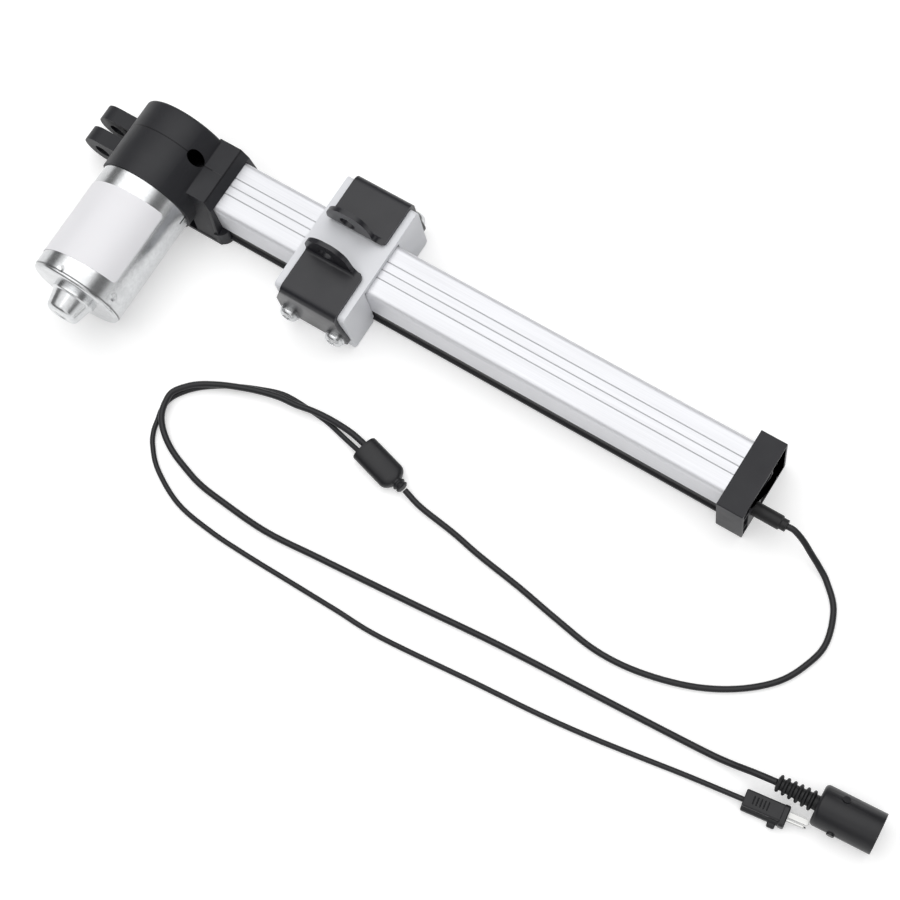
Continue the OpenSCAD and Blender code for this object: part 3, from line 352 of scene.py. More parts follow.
class Finish:
    """A material with one Principled shader, and short ways to reach its nodes."""

    def __init__(self, name, color, roughness, metallic=0.0, gloss=0.5):
        self.material = bpy.data.materials.new(name)
        self.material.use_nodes = True
        self.tree = self.material.node_tree
        self.shader = self.tree.nodes["Principled BSDF"]
        self.shader.inputs["Base Color"].default_value = (*color, 1)
        self.shader.inputs["Roughness"].default_value = roughness
        self.shader.inputs["Metallic"].default_value = metallic
        self.shader.inputs["Specular IOR Level"].default_value = gloss

    def group(self, tree, **values):
        """Places a shader group with its own input values. A label's space is an underline here."""
        node = self.tree.nodes.new("ShaderNodeGroup")
        node.node_tree = tree
        for label, value in values.items():
            node.inputs[label.replace("_", " ")].default_value = value
        return node

    def mix_color(self, mask, first, second):
        """A colour between two colours or sockets, by a mask."""
        node = self.tree.nodes.new("ShaderNodeMix")
        node.data_type = "RGBA"
        for socket, value in ((node.inputs[6], first), (node.inputs[7], second)):
            if isinstance(value, tuple):
                socket.default_value = (*value, 1)
            else:
                self.tree.links.new(value, socket)
        self.tree.links.new(mask, node.inputs[0])
        return node.outputs[2]

    def spread(self, value, low, high):
        """Maps a noise value, which mostly lies in NOISE_LOW..NOISE_HIGH, to low..high."""
        node = self.tree.nodes.new("ShaderNodeMapRange")
        node.inputs["From Min"].default_value = NOISE_LOW
        node.inputs["From Max"].default_value = NOISE_HIGH
        node.inputs["To Min"].default_value = low
        node.inputs["To Max"].default_value = high
        self.tree.links.new(value, node.inputs["Value"])
        return node.outputs["Result"]

    def set(self, label, socket):
        """Feeds one of the shader's inputs from a socket."""
        self.tree.links.new(socket, self.shader.inputs[label])

    def bump(self, height, strength, depth, over=None):
        """A bump of the given depth in metres. Returns its normal."""
        node = self.tree.nodes.new("ShaderNodeBump")
        node.inputs["Strength"].default_value = strength
        node.inputs["Distance"].default_value = depth
        self.tree.links.new(height, node.inputs["Height"])
        if over is not None:
            self.tree.links.new(over, node.inputs["Normal"])
        self.set("Normal", node.outputs["Normal"])
        return node.outputs["Normal"]


def band(tree, value, at, half):
    """1 where a value lies within half of a place, fading to 0 over another half."""
    away = link_math(tree, "ABSOLUTE", link_math(tree, "SUBTRACT", value, at), 0.0)
    node = tree.nodes.new("ShaderNodeMapRange")
    node.inputs["From Min"].default_value = half
    node.inputs["From Max"].default_value = 2 * half
    node.inputs["To Min"].default_value = 1.0
    node.inputs["To Max"].default_value = 0.0
    tree.links.new(away, node.inputs["Value"])
    return node.outputs["Result"]


def both_of(tree, first, second):
    """The product of two masks: 1 where both are."""
    return link_math(tree, "MULTIPLY", first, second)


def either_of(tree, first, second):
    """The larger of two masks: 1 where either is."""
    return link_math(tree, "MAXIMUM", first, second)


def object_place(tree):
    """The three Object coordinates, in metres."""
    place = tree.nodes.new("ShaderNodeTexCoord")
    split = tree.nodes.new("ShaderNodeSeparateXYZ")
    tree.links.new(place.outputs["Object"], split.inputs["Vector"])
    return split.outputs["X"], split.outputs["Y"], split.outputs["Z"]


def make_housing_joint_and_shade_marks():
    """Dark joints between the housing's halves and between collar and flange, and painted shade that fills
    the round recess.
    """
    group, entry, out = new_group("housing_dark_joints_and_recess_shade", {"Depth": 0.55}, ("Mask",))
    x, y, z = object_place(group)
    top = link_math(group, "GREATER_THAN", z, SEAM_LOW)
    seam = both_of(group, band(group, y, 0.0, SEAM_LINE), top)
    seam = both_of(group, seam, link_math(group, "LESS_THAN", x, SEAM_END))
    joint = band(group, x, FLANGE_X, FLANGE_LINE)
    from_axis = link_math(group, "SUBTRACT", x, RECESS_X)
    squares = link_math(group, "ADD", both_of(group, from_axis, from_axis), both_of(group, y, y))
    # painted shade: the whole round recess is turned black
    recess = both_of(group, link_math(group, "LESS_THAN", squares, RECESS_R**2), top)
    lines = link_math(group, "MULTIPLY", either_of(group, seam, joint), entry.outputs["Depth"])
    group.links.new(either_of(group, lines, recess), out.inputs["Mask"])
    return group


def make_groove_shade():
    """Painted shade: dark lines in the profile's three grooves, and a faint one where its far top edge begins
    to round.
    """
    group, entry, out = new_group("groove_painted_shade", {"Depth": 0.42}, ("Mask",))
    x, y, z = object_place(group)
    away = link_math(group, "ABSOLUTE", y, 0.0)
    centre = band(group, y, 0.0, GROOVE_SHADE_LINE)
    sides = band(group, away, GROOVE_PITCH, GROOVE_SHADE_LINE)
    # faint painted shade where the far top edge begins to round, on the far side only
    faint = 0.12
    edge = link_math(group, "MULTIPLY", band(group, y, rail_high.y - RAIL_ROUND, RAIL_ROUND_SHADE_LINE), faint)
    top = link_math(group, "GREATER_THAN", z, rail_high.z - RAIL_SKIN)
    lines = either_of(group, either_of(group, centre, sides), edge)
    deep = link_math(group, "MULTIPLY", lines, entry.outputs["Depth"])
    group.links.new(both_of(group, deep, top), out.inputs["Mask"])
    return group


def make_can_shade():
    """Painted shade in the groove of the rolled seam before the can's end, and a painted dark slit in its
    open edge on the profile's side, standing for the shade inside the can.
    """
    group, entry, out = new_group("can_seam_and_slit_shade", {"Depth": 0.5}, ("Mask",))
    x, y, z = object_place(group)
    # painted shade in the rolled seam's groove
    ring = band(group, y, can_low.y + ROLL_BACK, ROLL_SHADE_LINE)
    # painted dark slit, standing for the shade inside the can
    slit = band(group, z, MOTOR_Z + SLIT_RISE, SLIT_SHADE_LINE)
    slit = both_of(group, slit, link_math(group, "GREATER_THAN", x, MOTOR_X))
    slit = both_of(group, slit, link_math(group, "GREATER_THAN", y, can_high.y - SLIT_L))
    deep = link_math(group, "MULTIPLY", ring, entry.outputs["Depth"])
    group.links.new(either_of(group, deep, slit), out.inputs["Mask"])
    return group


def darkened(finish, marks):
    """Turns a finish black where a group's mask is 1, for dark joints and for painted shade: a black base
    that is also metallic reflects nothing.
    """
    mask = finish.group(marks).outputs["Mask"]
    drawn = finish.shader.inputs["Base Color"].links[0].from_socket
    plain = finish.shader.inputs["Metallic"].default_value
    finish.set("Base Color", finish.mix_color(mask, drawn, JOINT_AND_SHADE_BLACK))
    finish.set("Metallic", link_math(finish.tree, "MAXIMUM", mask, plain))


def moulded(
    name, color, roughness, fine=2500.0, depth=0.03 * MM, wear=0.6, pale=0.03, gloss=0.36, marks=None
):
    """Moulded plastic: grain, patches of gloss, slightly paler edges and a trace of dust."""
    finish = Finish(name, color, roughness, gloss=gloss)
    grain = finish.group(GRAIN, Fine_scale=fine)
    edges = finish.group(EDGES, Amount=wear * 6)
    dust = finish.group(DUST, Amount=0.02)
    lighter = tuple(c + pale for c in color)
    worn = finish.mix_color(edges.outputs["Mask"], color, lighter)
    finish.set("Base Color", finish.mix_color(dust.outputs["Mask"], worn, DUST_COLOR))
    finish.set("Roughness", finish.spread(grain.outputs["Patches"], roughness - 0.06, roughness + 0.06))
    finish.bump(grain.outputs["Height"], 0.35, depth)
    if marks is not None:
        darkened(finish, marks)
    return finish.material


def zinc_plate(name, color, roughness, marks=None):
    """Bright zinc plate: cloudy and mottled in colour, uneven in gloss, with faint drawing lines along Y."""
    finish = Finish(name, color, roughness, 1.0)
    drawn = finish.group(DRAWN, Scale=1400.0)
    edges = finish.group(EDGES, Amount=3.0)
    cloud = tuple(c * 0.86 for c in color)
    spangle = tuple(c * 0.80 for c in color)
    cloudy = finish.mix_color(finish.spread(drawn.outputs["Clouds"], 0.0, 1.0), color, cloud)
    mottled = finish.mix_color(finish.spread(drawn.outputs["Spangle"], 0.0, 0.9), cloudy, spangle)
    finish.set("Base Color", finish.mix_color(edges.outputs["Mask"], mottled, (0.9, 0.9, 0.9)))
    finish.set("Roughness", finish.spread(drawn.outputs["Clouds"], roughness - 0.05, roughness + 0.07))
    finish.bump(drawn.outputs["Along Y"], 0.12, 0.02 * MM)
    if marks is not None:
        darkened(finish, marks)
    return finish.material


def anodised(name, color, roughness, marks=None):
    """Satin anodised extrusion: fine die lines along X, its length, and a trace of grain."""
    finish = Finish(name, color, roughness, 0.5)
    drawn = finish.group(DRAWN, Scale=1800.0)
    grain = finish.group(GRAIN, Fine_scale=5000.0)
    streak = finish.spread(drawn.outputs["Along X"], 0.0, 1.0)
    darker = tuple(c * 0.94 for c in color)
    finish.set("Base Color", finish.mix_color(streak, color, darker))
    finish.set("Roughness", finish.spread(drawn.outputs["Along X"], roughness - 0.04, roughness + 0.05))
    lines = finish.bump(drawn.outputs["Along X"], 0.10, 0.01 * MM)
    finish.bump(grain.outputs["Height"], 0.10, 0.008 * MM, lines)
    if marks is not None:
        darkened(finish, marks)
    return finish.material


def turned(name, color, roughness, metallic=1.0):
    """Turned, ground or sintered metal and the like, for the pieces inside and the contacts."""
    finish = Finish(name, color, roughness, metallic)
    drawn = finish.group(DRAWN, Scale=2600.0)
    darker = tuple(c * 0.75 for c in color)
    cloudy = finish.mix_color(finish.spread(drawn.outputs["Clouds"], 0.0, 1.0), color, darker)
    finish.set("Base Color", cloudy)
    finish.set("Roughness", finish.spread(drawn.outputs["Clouds"], roughness - 0.06, roughness + 0.08))
    finish.bump(drawn.outputs["Along Y"], 0.15, 0.01 * MM)
    return finish.material


def powder_coat(name, color, roughness):
    """Black powder coat: a soft orange-peel skin over the sheet."""
    finish = Finish(name, color, roughness, gloss=0.40)
    grain = finish.group(GRAIN, Fine_scale=900.0, Patch_scale=60.0)
    edges = finish.group(EDGES, Amount=3.0)
    lighter = tuple(c + 0.03 for c in color)
    finish.set("Base Color", finish.mix_color(edges.outputs["Mask"], color, lighter))
    finish.set("Roughness", finish.spread(grain.outputs["Patches"], roughness - 0.04, roughness + 0.06))
    finish.bump(grain.outputs["Height"], 0.20, 0.03 * MM)
    finish.shader.inputs["Coat Weight"].default_value = 0.15
    finish.shader.inputs["Coat Roughness"].default_value = 0.22
    return finish.material


# These groups paint shade into colour: the housing's round recess, the profile's grooves and far edge, and
# the can's rolled seam and slit. The housing's group also holds its dark joints.
HOUSING_JOINTS_AND_SHADE = make_housing_joint_and_shade_marks()
GROOVE_SHADE = make_groove_shade()
CAN_SHADE = make_can_shade()

MATERIALS = {
    "housing_plastic": moulded("black_nylon", (0.0095, 0.0098, 0.0130), 0.50, marks=HOUSING_JOINTS_AND_SHADE),
    "cap_plastic": moulded("black_cap_nylon", (0.0085, 0.0085, 0.0120), 0.46),
    "rail_plastic": moulded("black_extruded_plastic", (0.0120, 0.0122, 0.0140), 0.42, wear=0.3),
    "carriage_plastic": moulded("white_acetal", (0.74, 0.75, 0.78), 0.42, pale=0.02, wear=0.2, gloss=0.5),
    "gear_plastic": moulded("natural_acetal", (0.72, 0.70, 0.62), 0.45, gloss=0.5),
    "switch_plastic": moulded("black_switch_case", (0.020, 0.020, 0.021), 0.45),
    "socket_plastic": moulded("black_connector_shell", (0.0065, 0.0065, 0.0085), 0.38, depth=0.015 * MM),
    "boot_pvc": moulded("black_soft_boot", (0.0060, 0.0060, 0.0070), 0.50, depth=0.02 * MM, wear=0.3),
    "cord_pvc": moulded("black_cable_jacket", (0.0080, 0.0080, 0.0100), 0.36, depth=0.01 * MM, wear=0.0),
    "carbon": moulded("carbon_brush", (0.030, 0.030, 0.031), 0.60),
    "brush_board": moulded("brown_phenolic", (0.090, 0.055, 0.035), 0.50),
    "zinc_steel": zinc_plate("zinc_plated_can", (0.68, 0.69, 0.70), 0.22, marks=CAN_SHADE),
    "cap_steel": zinc_plate("zinc_plated_cup", (0.72, 0.73, 0.74), 0.20),
    "screw_zinc": zinc_plate("zinc_plated_screw", (0.66, 0.67, 0.68), 0.24),
    "anodised": anodised("satin_anodised", (0.72, 0.725, 0.75), 0.42, marks=GROOVE_SHADE),
    "bracket_paint": powder_coat("black_powder_coat", (0.0090, 0.0090, 0.0125), 0.36),
    "label": moulded("white_label", (0.83, 0.825, 0.85), 0.38, depth=0.004 * MM, wear=0.0, gloss=0.4),
    "contact_brass": turned("contact_brass", (0.70, 0.52, 0.26), 0.28),
    "pin_nickel": turned("nickel_plate", (0.60, 0.60, 0.59), 0.26),
    "magnet": turned("ferrite", (0.055, 0.055, 0.060), 0.60, 0.2),
    "lamination": turned("laminations", (0.20, 0.20, 0.21), 0.45),
    "winding": turned("enamelled_wire", (0.50, 0.20, 0.07), 0.30),
    "commutator_copper": turned("hard_copper", (0.62, 0.32, 0.16), 0.30),
    "bronze": turned("sintered_bronze", (0.50, 0.35, 0.16), 0.50),
    "turned_steel": turned("turned_steel", (0.55, 0.56, 0.57), 0.30),
}

for node, piece in NODES.items():
    piece.data.materials.clear()
    piece.data.materials.append(MATERIALS[SLOT_OF[node]])


# ---------------------------------------------------------------- surfaces

def grid_faces(rows, columns, wrap_rows=False, wrap_columns=False):
    """Quads between neighbouring points of a grid, closed along either way if asked."""
    row = np.arange(rows if wrap_rows else rows - 1)[:, None]
    column = np.arange(columns if wrap_columns else columns - 1)[None, :]
    next_row = (row + 1) % rows
    next_column = (column + 1) % columns
    quads = np.stack([
        row * columns + column, row * columns + next_column,
        next_row * columns + next_column, next_row * columns + column,
    ], axis=-1)
    return quads.reshape(-1, 4)


def filleted(corners, steps=6):
    """A closed outline through corners (a, b, radius), where each corner is an arc of its radius."""
    corners = np.array(corners, float)
    count = len(corners)
    outline = []
    for i, (a, b, radius) in enumerate(corners):
        here = np.array((a, b))
        if radius <= 0:
            outline.append(here[None])
            continue
        back = corners[i - 1, :2] - here
        ahead = corners[(i + 1) % count, :2] - here
        back /= np.linalg.norm(back)
        ahead /= np.linalg.norm(ahead)
        half = math.acos(float(np.clip(back @ ahead, -1, 1))) / 2
        reach = radius / math.tan(half)
        start = here + back * reach
        end = here + ahead * reach
        centre = here + (back + ahead) / np.linalg.norm(back + ahead) * radius / math.sin(half)
        turn = math.pi - 2 * half
        t = np.linspace(0, 1, steps + 1)[:, None]
        arc = (np.sin((1 - t) * turn) * (start - centre) + np.sin(t * turn) * (end - centre)) / math.sin(turn)
        outline.append(centre + arc)
    return np.concatenate(outline)


def add_piece(name, mesh, node, sharp=38):
    """Puts a mesh into the scene with its node's body, slot and finish, in place of that node.

    Edges that turn by more than sharp degrees stay sharp.
    """
    build = bmesh.new()
    build.from_mesh(mesh)
    bmesh.ops.remove_doubles(build, verts=build.verts, dist=1e-7)
    bmesh.ops.recalc_face_normals(build, faces=build.faces)
    build.to_mesh(mesh)
    build.free()
    mesh.shade_smooth()
    mesh.set_sharp_from_angle(angle=math.radians(sharp))
    piece = bpy.data.objects.new(name, mesh)
    bpy.context.scene.collection.objects.link(piece)
    mesh.materials.clear()
    mesh.materials.append(MATERIALS[SLOT_OF[node]])
    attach(piece, BODY_OF[node])
    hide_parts(node)
    return piece


def mesh_of(name, points, faces):
    """A mesh from an array of points and arrays or lists of faces."""
    mesh = bpy.data.meshes.new(name)
    mesh.from_pydata(np.asarray(points).reshape(-1, 3).tolist(), [], [list(map(int, f)) for f in faces])
    return mesh


def add_box(mesh, low, high):
    """Adds a plain box between two corners to a mesh."""
    size = [b - a for a, b in zip(low, high)]
    centre = [(a + b) / 2 for a, b in zip(low, high)]
    build = bmesh.new()
    build.from_mesh(mesh)
    made = bmesh.ops.create_cube(build, size=1.0)["verts"]
    bmesh.ops.scale(build, vec=size, verts=made)
    bmesh.ops.translate(build, vec=centre, verts=made)
    build.to_mesh(mesh)
    build.free()


def softened(node, width):
    """The construction's own solid with its loose triangles merged and its edges rounded off."""
    corner = 32
    mesh = NODES[node].data.copy()
    build = bmesh.new()
    build.from_mesh(mesh)
    bmesh.ops.remove_doubles(build, verts=build.verts, dist=1e-6)
    bmesh.ops.dissolve_limit(
        build, angle_limit=math.radians(0.5), verts=build.verts, edges=build.edges, delimit={"NORMAL"}
    )
    build.to_mesh(mesh)
    build.free()
    piece = add_piece(node + "_soft", mesh, node, sharp=corner)
    edge = piece.modifiers.new("soft_edges", "BEVEL")
    edge.width = width
    edge.segments = 2
    edge.limit_method = "ANGLE"
    edge.angle_limit = math.radians(corner)
    edge.harden_normals = True
    edge.miter_outer = "MITER_ARC"
    return piece


# ---------------------------------------------------------------- cables

MAIN_ROUTE = [
    (494, -11, 5.5), (499, -11, 5.2), (506, -13, 2), (513, -16, -3), (520, -19, -8), (528, -24, -11),
    (539, -36, -11.1), (545, -55, -11.1), (542, -71, -11.1), (533, -88, -11.1), (515, -104, -11.1),
    (492, -116, -11.1), (463, -124, -11.1), (436, -126, -11.1), (407, -122, -11.1),
    (378, -117, -11.1), (349, -113, -11.1), (327, -109, -11.1), (303, -106, -9.6), (289.3, -102.3, -8),
]
SOCKET_ROUTE = [
    (253.6, -90.8, -8), (241, -88.5, -7.8), (226, -88, -7.6), (213, -89, -7.6), (202, -91, -7.6),
    (191, -92, -7.6), (178, -95, -7.6), (166, -99, -7.6), (154, -104, -7.6), (143, -110, -7.6),
    (136, -116, -7.6), (131, -123, -7.6), (131, -130, -7.6), (133, -137, -7.8), (137, -143, -8.8),
    (144, -149, -10), (153, -154, -10.9), (164, -158, -11), (178, -162, -11), (195, -164, -11),
    (230, -166, -11), (267, -163, -11), (302, -160, -11), (335, -157, -11), (388, -152, -11),
    (452, -148, -11), (514, -144, -10.6), (533, -142.4, -8.2), (548, -140.6, -3.2), (560.9, -139.1, -0.8),
]
PLUG_ROUTE = [
    (252.1, -96, -8), (239, -93, -10.2), (226, -90, -11.4), (217, -89, -11.4), (199, -88, -11.4),
    (188, -89, -11.4), (176, -93, -11.4), (164, -98, -11.4), (153, -104, -11.4), (143, -111, -11.4),
    (136, -118, -11.4), (131, -126, -11.4), (130, -134, -11.4), (132, -142, -11.4),
    (134, -149, -11.4), (139, -157, -11.4), (151, -168, -11.4), (174, -179, -11.4),
    (201, -183, -11.4), (229, -184, -11.4), (262, -184, -11.4), (293, -184, -11.4),
    (325, -184, -11.4), (386, -178, -11.4), (429, -174, -11.4), (466, -169, -11.4),
    (513, -161, -11.2), (534.4, -157.9, -9.6), (549.8, -155.8, -8),
]


def smooth_line(route, steps=6):
    """A Catmull-Rom curve through a route's points, in metres: between b and c, with neighbours a and d,
    half of 2b + (c - a) t + (2a - 5b + 4c - d) t^2 + (3b - a - 3c + d) t^3.
    """
    p = np.array(route, float) * MM
    p = np.concatenate([2 * p[:1] - p[1:2], p, 2 * p[-1:] - p[-2:-1]])
    a, b, c, d = p[:-3, None], p[1:-2, None], p[2:-1, None], p[3:, None]
    t = (np.arange(steps) / steps)[None, :, None]
    square = 2 * a - 5 * b + 4 * c - d
    cube = 3 * b - a - 3 * c + d
    line = 0.5 * (2 * b + (c - a) * t + square * t**2 + cube * t**3)
    return np.concatenate([line.reshape(-1, 3), p[-2:-1]])


def add_cable(node, route, diameter):
    """A round jacket along a smooth line, on the cable's body in place of its node."""
    line = smooth_line(route)
    curve = bpy.data.curves.new(node + "_jacket", "CURVE")
    curve.dimensions = "3D"
    curve.bevel_depth = diameter / 2
    curve.bevel_resolution = 6
    curve.use_fill_caps = True
    spline = curve.splines.new("POLY")
    spline.points.add(len(line) - 1)
    spline.points.foreach_set("co", np.c_[line, np.ones(len(line))].ravel())
    spline.use_smooth = True
    curve.materials.append(MATERIALS["cord_pvc"])
    cable = bpy.data.objects.new(node + "_jacket", curve)
    bpy.context.scene.collection.objects.link(cable)
    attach(cable, BODY_OF[node])
    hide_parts(node)
    return cable


# ---------------------------------------------------------------- motor

def bump_field(angle, h, at_angle, at_h, half_angle, half_h):
    """A smooth hill of height 1 over an oval of half sizes half_angle and half_h: (1 - d^2)^2 inside it."""
    turn = (angle - at_angle + math.pi) % (2 * math.pi) - math.pi
    d2 = (turn / half_angle) ** 2 + ((h - at_h) / half_h) ** 2
    return np.where(d2 < 1, (1 - np.minimum(d2, 1)) ** 2, 0)


def dense(outline, step):
    """The same outline with no two points further apart than step."""
    pieces = []
    for a, b in zip(outline[:-1], outline[1:]):
        n = max(1, int(math.ceil(np.linalg.norm(b - a) / step)))
        pieces.append(a + (b - a) * (np.arange(n) / n)[:, None])
    return np.concatenate(pieces + [outline[-1:]])


def on_motor(r, angle, h):
    """The point at radius r, angle from the top towards +X, and h from the housing along the motor."""
    x = MOTOR_X + r * np.sin(angle)
    y = can_high.y - h
    z = MOTOR_Z + r * np.cos(angle)
    return np.stack(np.broadcast_arrays(x, y, z), axis=-1)


def motor_lathe(name, node, profile, turns, relief=None):
    """A profile (r, h) turned about the motor's axis. relief(angle, h) is taken off the radius."""
    angle = (np.arange(turns) * 2 * np.pi / turns)[None, :]
    r = profile[:, 0][:, None] * np.ones_like(angle)
    h = profile[:, 1][:, None] * np.ones_like(angle)
    if relief is not None:
        r = r - relief(angle, h)
    faces = grid_faces(len(profile), turns, wrap_rows=True, wrap_columns=True)
    return add_piece(name, mesh_of(name, on_motor(r, angle, h), faces), node)


def make_can():
    """The drawn can: a profile (r, h) turned about the motor's axis, with a straight wall, a rolled seam and
    an end plate behind it. A tab and a dimple are smooth hills taken off the radius.
    """
    wall = 1.6 * MM
    seam = CAN_L - ROLL_BACK
    waist = CAN_R - 0.7 * MM
    bore = 10.2 * MM
    outline = filleted([
        (CAN_R - wall, 0, 0), (CAN_R, 0, 0.3 * MM), (CAN_R, seam, 0.4 * MM),
        (waist, seam + 0.2 * MM, 0), (waist, seam + 0.5 * MM, 0), (CAN_R - 0.3 * MM, seam + 0.6 * MM, 0),
        (CAN_R - 0.4 * MM, CAN_L, 2.0 * MM), (bore, CAN_L, 0), (bore, CAN_L - wall, 0),
        (CAN_R - wall, CAN_L - wall, 0),
    ])
    outline = dense(outline, 1.2 * MM)
    outline = outline[np.r_[True, np.linalg.norm(np.diff(outline, axis=0), axis=1) > 1e-7]]

    def relief(angle, h):
        outer = (h > 1.5 * MM) & (h < CAN_L + 1e-6)
        tab = 0.7 * MM * bump_field(angle, h, math.radians(-4), seam - 1.0 * MM, 0.09, 2.2 * MM)
        dimple = 0.6 * MM * bump_field(angle, h, math.radians(66), seam - 5.5 * MM, 0.11, 2.6 * MM)
        return np.where(outer, tab + dimple, 0)

    return motor_lathe("motor_can_drawn", "motor_can", outline, 256, relief)


def make_cup():
    """The pressed bearing cup, a profile (r, h) about the motor's axis: a foot, a cone and a rounded tip."""
    tip = can_high.y - cup_low.y
    foot = (cup_high.x - cup_low.x) / 2
    foot_h = 3.0 * MM
    tip_r = 10.4 * MM
    dish_r = 4.6 * MM
    dish = 0.4 * MM
    sheet = 1.0 * MM
    outline = filleted([
        (foot - 1.6 * MM, CAN_L, 0), (foot, CAN_L, 0), (foot, CAN_L + foot_h, 1.0 * MM),
        (foot - 1.2 * MM, CAN_L + foot_h + 0.6 * MM, 0.5 * MM), (tip_r, tip, 3.4 * MM),
        (dish_r, tip, 0.3 * MM), (dish_r - 0.2 * MM, tip - dish, 0.2 * MM), (0, tip - dish, 0),
        (0, tip - dish - sheet, 0), (foot - 3.0 * MM, CAN_L + foot_h, 0),
    ])
    return motor_lathe("bearing_cup_pressed", "bearing_cup", outline, 128)


def make_label():
    """A rounded rectangle wrapped on the can: u runs round it, v along it, and v leans a little with u."""
    radius = CAN_R + 0.12 * MM
    turn = math.radians(-9)
    half = radius * math.radians(67)
    width = 52 * MM
    start = 12 * MM
    corner = 3 * MM
    lean = math.tan(math.radians(3.4))
    rows, columns, arc = 40, 81, 7
    v = np.concatenate([
        corner * (1 - np.cos(np.linspace(0, np.pi / 2, arc))),
        np.linspace(corner, width - corner, rows)[1:-1],
        width - corner * (1 - np.cos(np.linspace(np.pi / 2, 0, arc))),
    ])
    inside = np.minimum(np.minimum(v, width - v), corner)
    inset = corner - np.sqrt(np.maximum(corner**2 - (corner - inside) ** 2, 0))
    u = np.linspace(-1, 1, columns)[None, :] * (half - inset)[:, None]
    points = on_motor(radius, turn + u / radius, v[:, None] + start - u * lean)
    mesh = mesh_of("motor_label_wrapped", points, grid_faces(len(v), columns))
    uv = mesh.uv_layers.new(name="sheet")
    flat = np.stack(np.broadcast_arrays(u, v[:, None]), axis=-1).reshape(-1, 2)
    corners = np.empty(len(mesh.loops), dtype=np.int32)
    mesh.loops.foreach_get("vertex_index", corners)
    uv.data.foreach_set("uv", flat[corners].astype(np.float32).ravel())
    label = add_piece("motor_label_wrapped", mesh, "motor_label")
    sheet = label.modifiers.new("paper", "SOLIDIFY")
    sheet.thickness = 0.10 * MM
    sheet.offset = 1
    return label


make_can()
make_cup()
make_label()


# ---------------------------------------------------------------- housings, profile, carriage and ends

SOFT_EDGES = {
    "gear_housing_near": 0.7, "gear_housing_far": 0.7, "front_flange": 0.6, "end_cap": 0.5,
    "carriage_block": 0.9, "bracket_near": 0.4, "bracket_far": 0.4, "bracket_screws": 0.3,
    "housing_screws": 0.2, "lower_rail": 0.3,
}


def add_cap_ribs(cap):
    """Thin walls across the end cap's open recess, at three heights."""
    half = 0.6 * MM
    side = 2.0 * MM
    for z in (-4.0 * MM, 12.5 * MM, 21.0 * MM):
        low = (cap_high.x - 8.0 * MM, cap_low.y + side, z - half)
        high = (cap_high.x - 0.4 * MM, cap_high.y - side, z + half)
        add_box(cap.data, low, high)


soft = {node: softened(node, width * MM) for node, width in SOFT_EDGES.items()}
add_cap_ribs(soft["end_cap"])


# ---------------------------------------------------------------- cables and what is on them

def lying(at, angle, height):
    """Turns local points (along, across, up) into space: a frame that lies at a point, turned about Z."""
    cos, sin = math.cos(math.radians(angle)), math.sin(math.radians(angle))

    def place(points):
        along, across, up = (points[..., i] for i in range(3))
        x = at[0] * MM + along * cos - across * sin
        y = at[1] * MM + along * sin + across * cos
        return np.stack([x, y, height + up], axis=-1)

    return place


def oval_rings(x, width, height, turns, power=2.0, low=-1.0):
    """Rings at each x, of half width w and half height h: the oval |y/w|^n + |z/h|^n = 1, cut flat at low."""
    t = np.linspace(0, 2 * np.pi, turns, endpoint=False)
    y = width[:, None] * np.sign(np.cos(t)) * np.abs(np.cos(t)) ** (2 / power)
    z = height[:, None] * np.sign(np.sin(t)) * np.abs(np.sin(t)) ** (2 / power)
    return np.stack([np.broadcast_to(x[:, None], y.shape), y, np.maximum(z, low)], axis=-1)


def closed_rings(rings):
    """Faces between rings, with a lid at each end."""
    count, turns = rings.shape[:2]
    sides = grid_faces(count, turns, wrap_columns=True).tolist()
    last = (count - 1) * turns
    return sides + [list(range(turns))[::-1], [last + i for i in range(turns)]]


def joined(parts):
    """Several (points, faces) as one."""
    points, faces, start = [], [], 0
    for part_points, part_faces in parts:
        flat = np.asarray(part_points).reshape(-1, 3)
        points.append(flat)
        faces += [[start + int(i) for i in face] for face in part_faces]
        start += len(flat)
    return np.concatenate(points), faces


def rounded_box(low, high, corner, steps=5):
    """A box in local axes whose long edges along its first axis are rounded, and whose ends are eased."""
    a = np.linspace(0, np.pi / 2, steps + 1)
    centre_y = np.array([high[1] - corner, low[1] + corner, low[1] + corner, high[1] - corner])
    centre_z = np.array([high[2] - corner, high[2] - corner, low[2] + corner, low[2] + corner])
    ease = min(corner, 0.6 * MM)
    rings = []
    for x, inset in ((low[0], ease), (low[0] + ease, 0), (high[0] - ease, 0), (high[0], ease)):
        r = corner - inset
        y = np.concatenate([centre_y[i] + r * np.cos(a + i * np.pi / 2) for i in range(4)])
        z = np.concatenate([centre_z[i] + r * np.sin(a + i * np.pi / 2) for i in range(4)])
        rings.append(np.stack([np.full(len(y), x), y, z], axis=-1))
    rings = np.array(rings)
    return rings, closed_rings(rings)


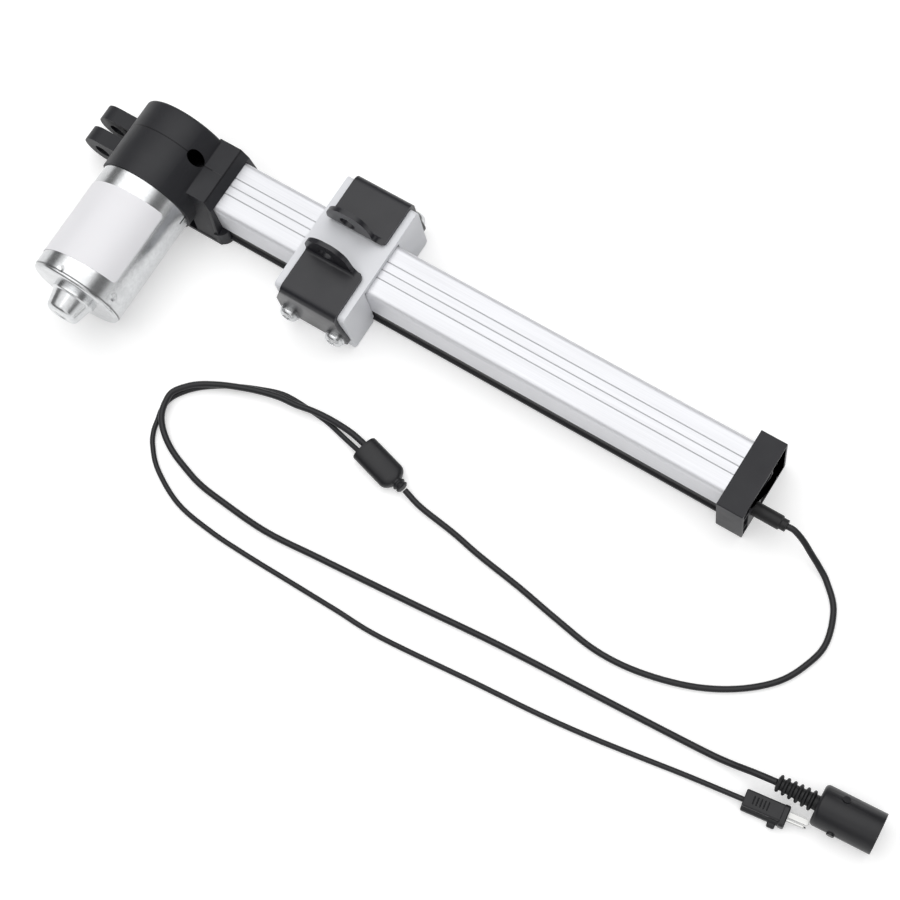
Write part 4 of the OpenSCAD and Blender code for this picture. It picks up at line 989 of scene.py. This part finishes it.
def make_splitter():
    """A domed splitter: ovals |y/w|^n + |z/h|^n = 1 along x, with blunt corners where two cables enter, three
    low ribs, a nose that is round in plan, and a tapering neck with two ridges.
    """
    half, width, height = 15.2 * MM, 8.75 * MM, 5.0 * MM
    nose_x, nose_l = 9.0 * MM, 6.5 * MM
    blunt_l = 1.2 * MM
    x = np.concatenate([
        -half + 1.0 * MM * (1 - np.cos(np.linspace(0.3, np.pi / 2, 5))),
        np.linspace(-half + blunt_l, nose_x, 26),
        nose_x + nose_l * np.sin(np.linspace(0.1, 1.52, 16)),
    ])
    square = np.clip((x + half) / blunt_l, 0, 1)
    blunt = 0.90 + 0.10 * np.sqrt(1 - (1 - square) ** 2)
    nose = np.clip((x - nose_x) / nose_l, 0, 1)
    plan = np.sqrt(np.maximum(1 - nose**2.2, 0.16)) * blunt
    rib_places = (2.2 * MM, 4.2 * MM, 6.2 * MM)
    ribs = 0.45 * MM * sum(np.exp(-(((x + half - at) / (0.5 * MM)) ** 2)) for at in rib_places)
    crown = (height + ribs) * (0.55 + 0.45 * plan)
    body = oval_rings(x, width * plan, crown, turns=64, power=2.3, low=-height)

    neck_l = 5.2 * MM
    neck_x = np.linspace(half - 1.2 * MM, half + neck_l, 30)
    ridge_places = (1.8 * MM, 4.2 * MM)
    ridges = 0.7 * MM * sum(np.exp(-(((neck_x - half - at) / (0.7 * MM)) ** 4)) for at in ridge_places)
    neck_r = 3.7 * MM - 0.6 * MM * (neck_x - half) / neck_l + ridges
    neck = oval_rings(neck_x, neck_r, neck_r, turns=40, low=-height)

    place = lying(SPLITTER_AT, SPLITTER_ANGLE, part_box("splitter")[0].z + height)
    points, faces = joined([(body, closed_rings(body)), (neck, closed_rings(neck))])
    mesh = mesh_of("splitter_domed", place(points), faces)
    return add_piece("splitter_domed", mesh, "splitter", sharp=50)


def make_boot():
    """The socket's boot: a cone with a round rib in each pitch, r = root + slope x + height sqrt(1 - d^2).
    d is the distance from the rib's middle over half its width, and 1 past it.
    """
    length = 24.5 * MM
    bare = 1.0 * MM
    rib_count = 6
    rib_middle = 0.30
    rib_half = 0.30
    root, widening, rib_height = 3.3 * MM, 1.1 * MM, 1.8 * MM
    pitch = (length - bare) / rib_count
    x = np.concatenate([np.linspace(0, length, 145), [length + 0.6 * MM]])
    turn = np.clip((x - 0.3 * MM) / pitch, 0, rib_count) % 1.0
    away = np.clip(np.abs(turn - rib_middle) / rib_half, 0, 1)
    rib = np.sqrt(1 - away**2) * (x < length - bare)
    radius = root + widening * x / length + rib_height * rib
    radius[0] = 2.8 * MM
    rings = oval_rings(x, radius, radius, turns=64)
    place = lying(BOOT_AT, BOOT_ANGLE, middle("socket_boot").z)
    mesh = mesh_of("socket_boot_ribbed", place(rings), closed_rings(rings))
    return add_piece("socket_boot_ribbed", mesh, "socket_boot", sharp=45)


def make_plug():
    """The two-pin plug, of rounded boxes: a lower body, a grip plate with ribs, a front flange and a key."""
    side, top, length = 6.0 * MM, 5.0 * MM, 25.5 * MM
    overlap = 0.6 * MM
    lower = rounded_box((0, -side, -top), (length, side, overlap), 2.2 * MM)
    plate = rounded_box((0, -side + 2.0 * MM, -1.0 * MM), (length, side, top), 1.1 * MM)

    flange_x = length - 3.6 * MM
    flange_y = side + 0.5 * MM
    flange = rounded_box((flange_x, -flange_y, -top), (length, flange_y, top + 0.4 * MM), 2.2 * MM)

    key_low = (length - 9.2 * MM, -side - 2.6 * MM, -top)
    key_high = (length - 4.6 * MM, -side + 1.8 * MM, -top + 4.4 * MM)
    key = rounded_box(key_low, key_high, 2.1 * MM, steps=8)

    rib_places = 5.0 * MM + 2.1 * MM * np.arange(5)
    rib_low, rib_high, rib_width = (-1.6 * MM, top - overlap), (3.8 * MM, top + 0.4 * MM), 0.9 * MM
    ribs = [rounded_box((at, *rib_low), (at + rib_width, *rib_high), 0.4 * MM) for at in rib_places]

    points, faces = joined([lower, plate, flange, key, *ribs])
    place = lying(PLUG_AT, PLUG_ANGLE, GROUND + top)
    mesh = mesh_of("two_pin_plug_moulded", place(points), faces)
    return add_piece("two_pin_plug_moulded", mesh, "two_pin_plug")


splitter = make_splitter()
boot = make_boot()
shell = softened("socket_shell", 0.4 * MM)
plug = make_plug()
blades = softened("plug_pins", 0.2 * MM)

add_cable("main_cable", MAIN_ROUTE, 0.0038)
add_cable(
    "socket_cable", SOCKET_ROUTE, 0.0040,
)
add_cable("plug_cable", PLUG_ROUTE, 0.0032)

bpy.context.scene.view_settings.view_transform = "Standard"

bpy.context.view_layer.update()
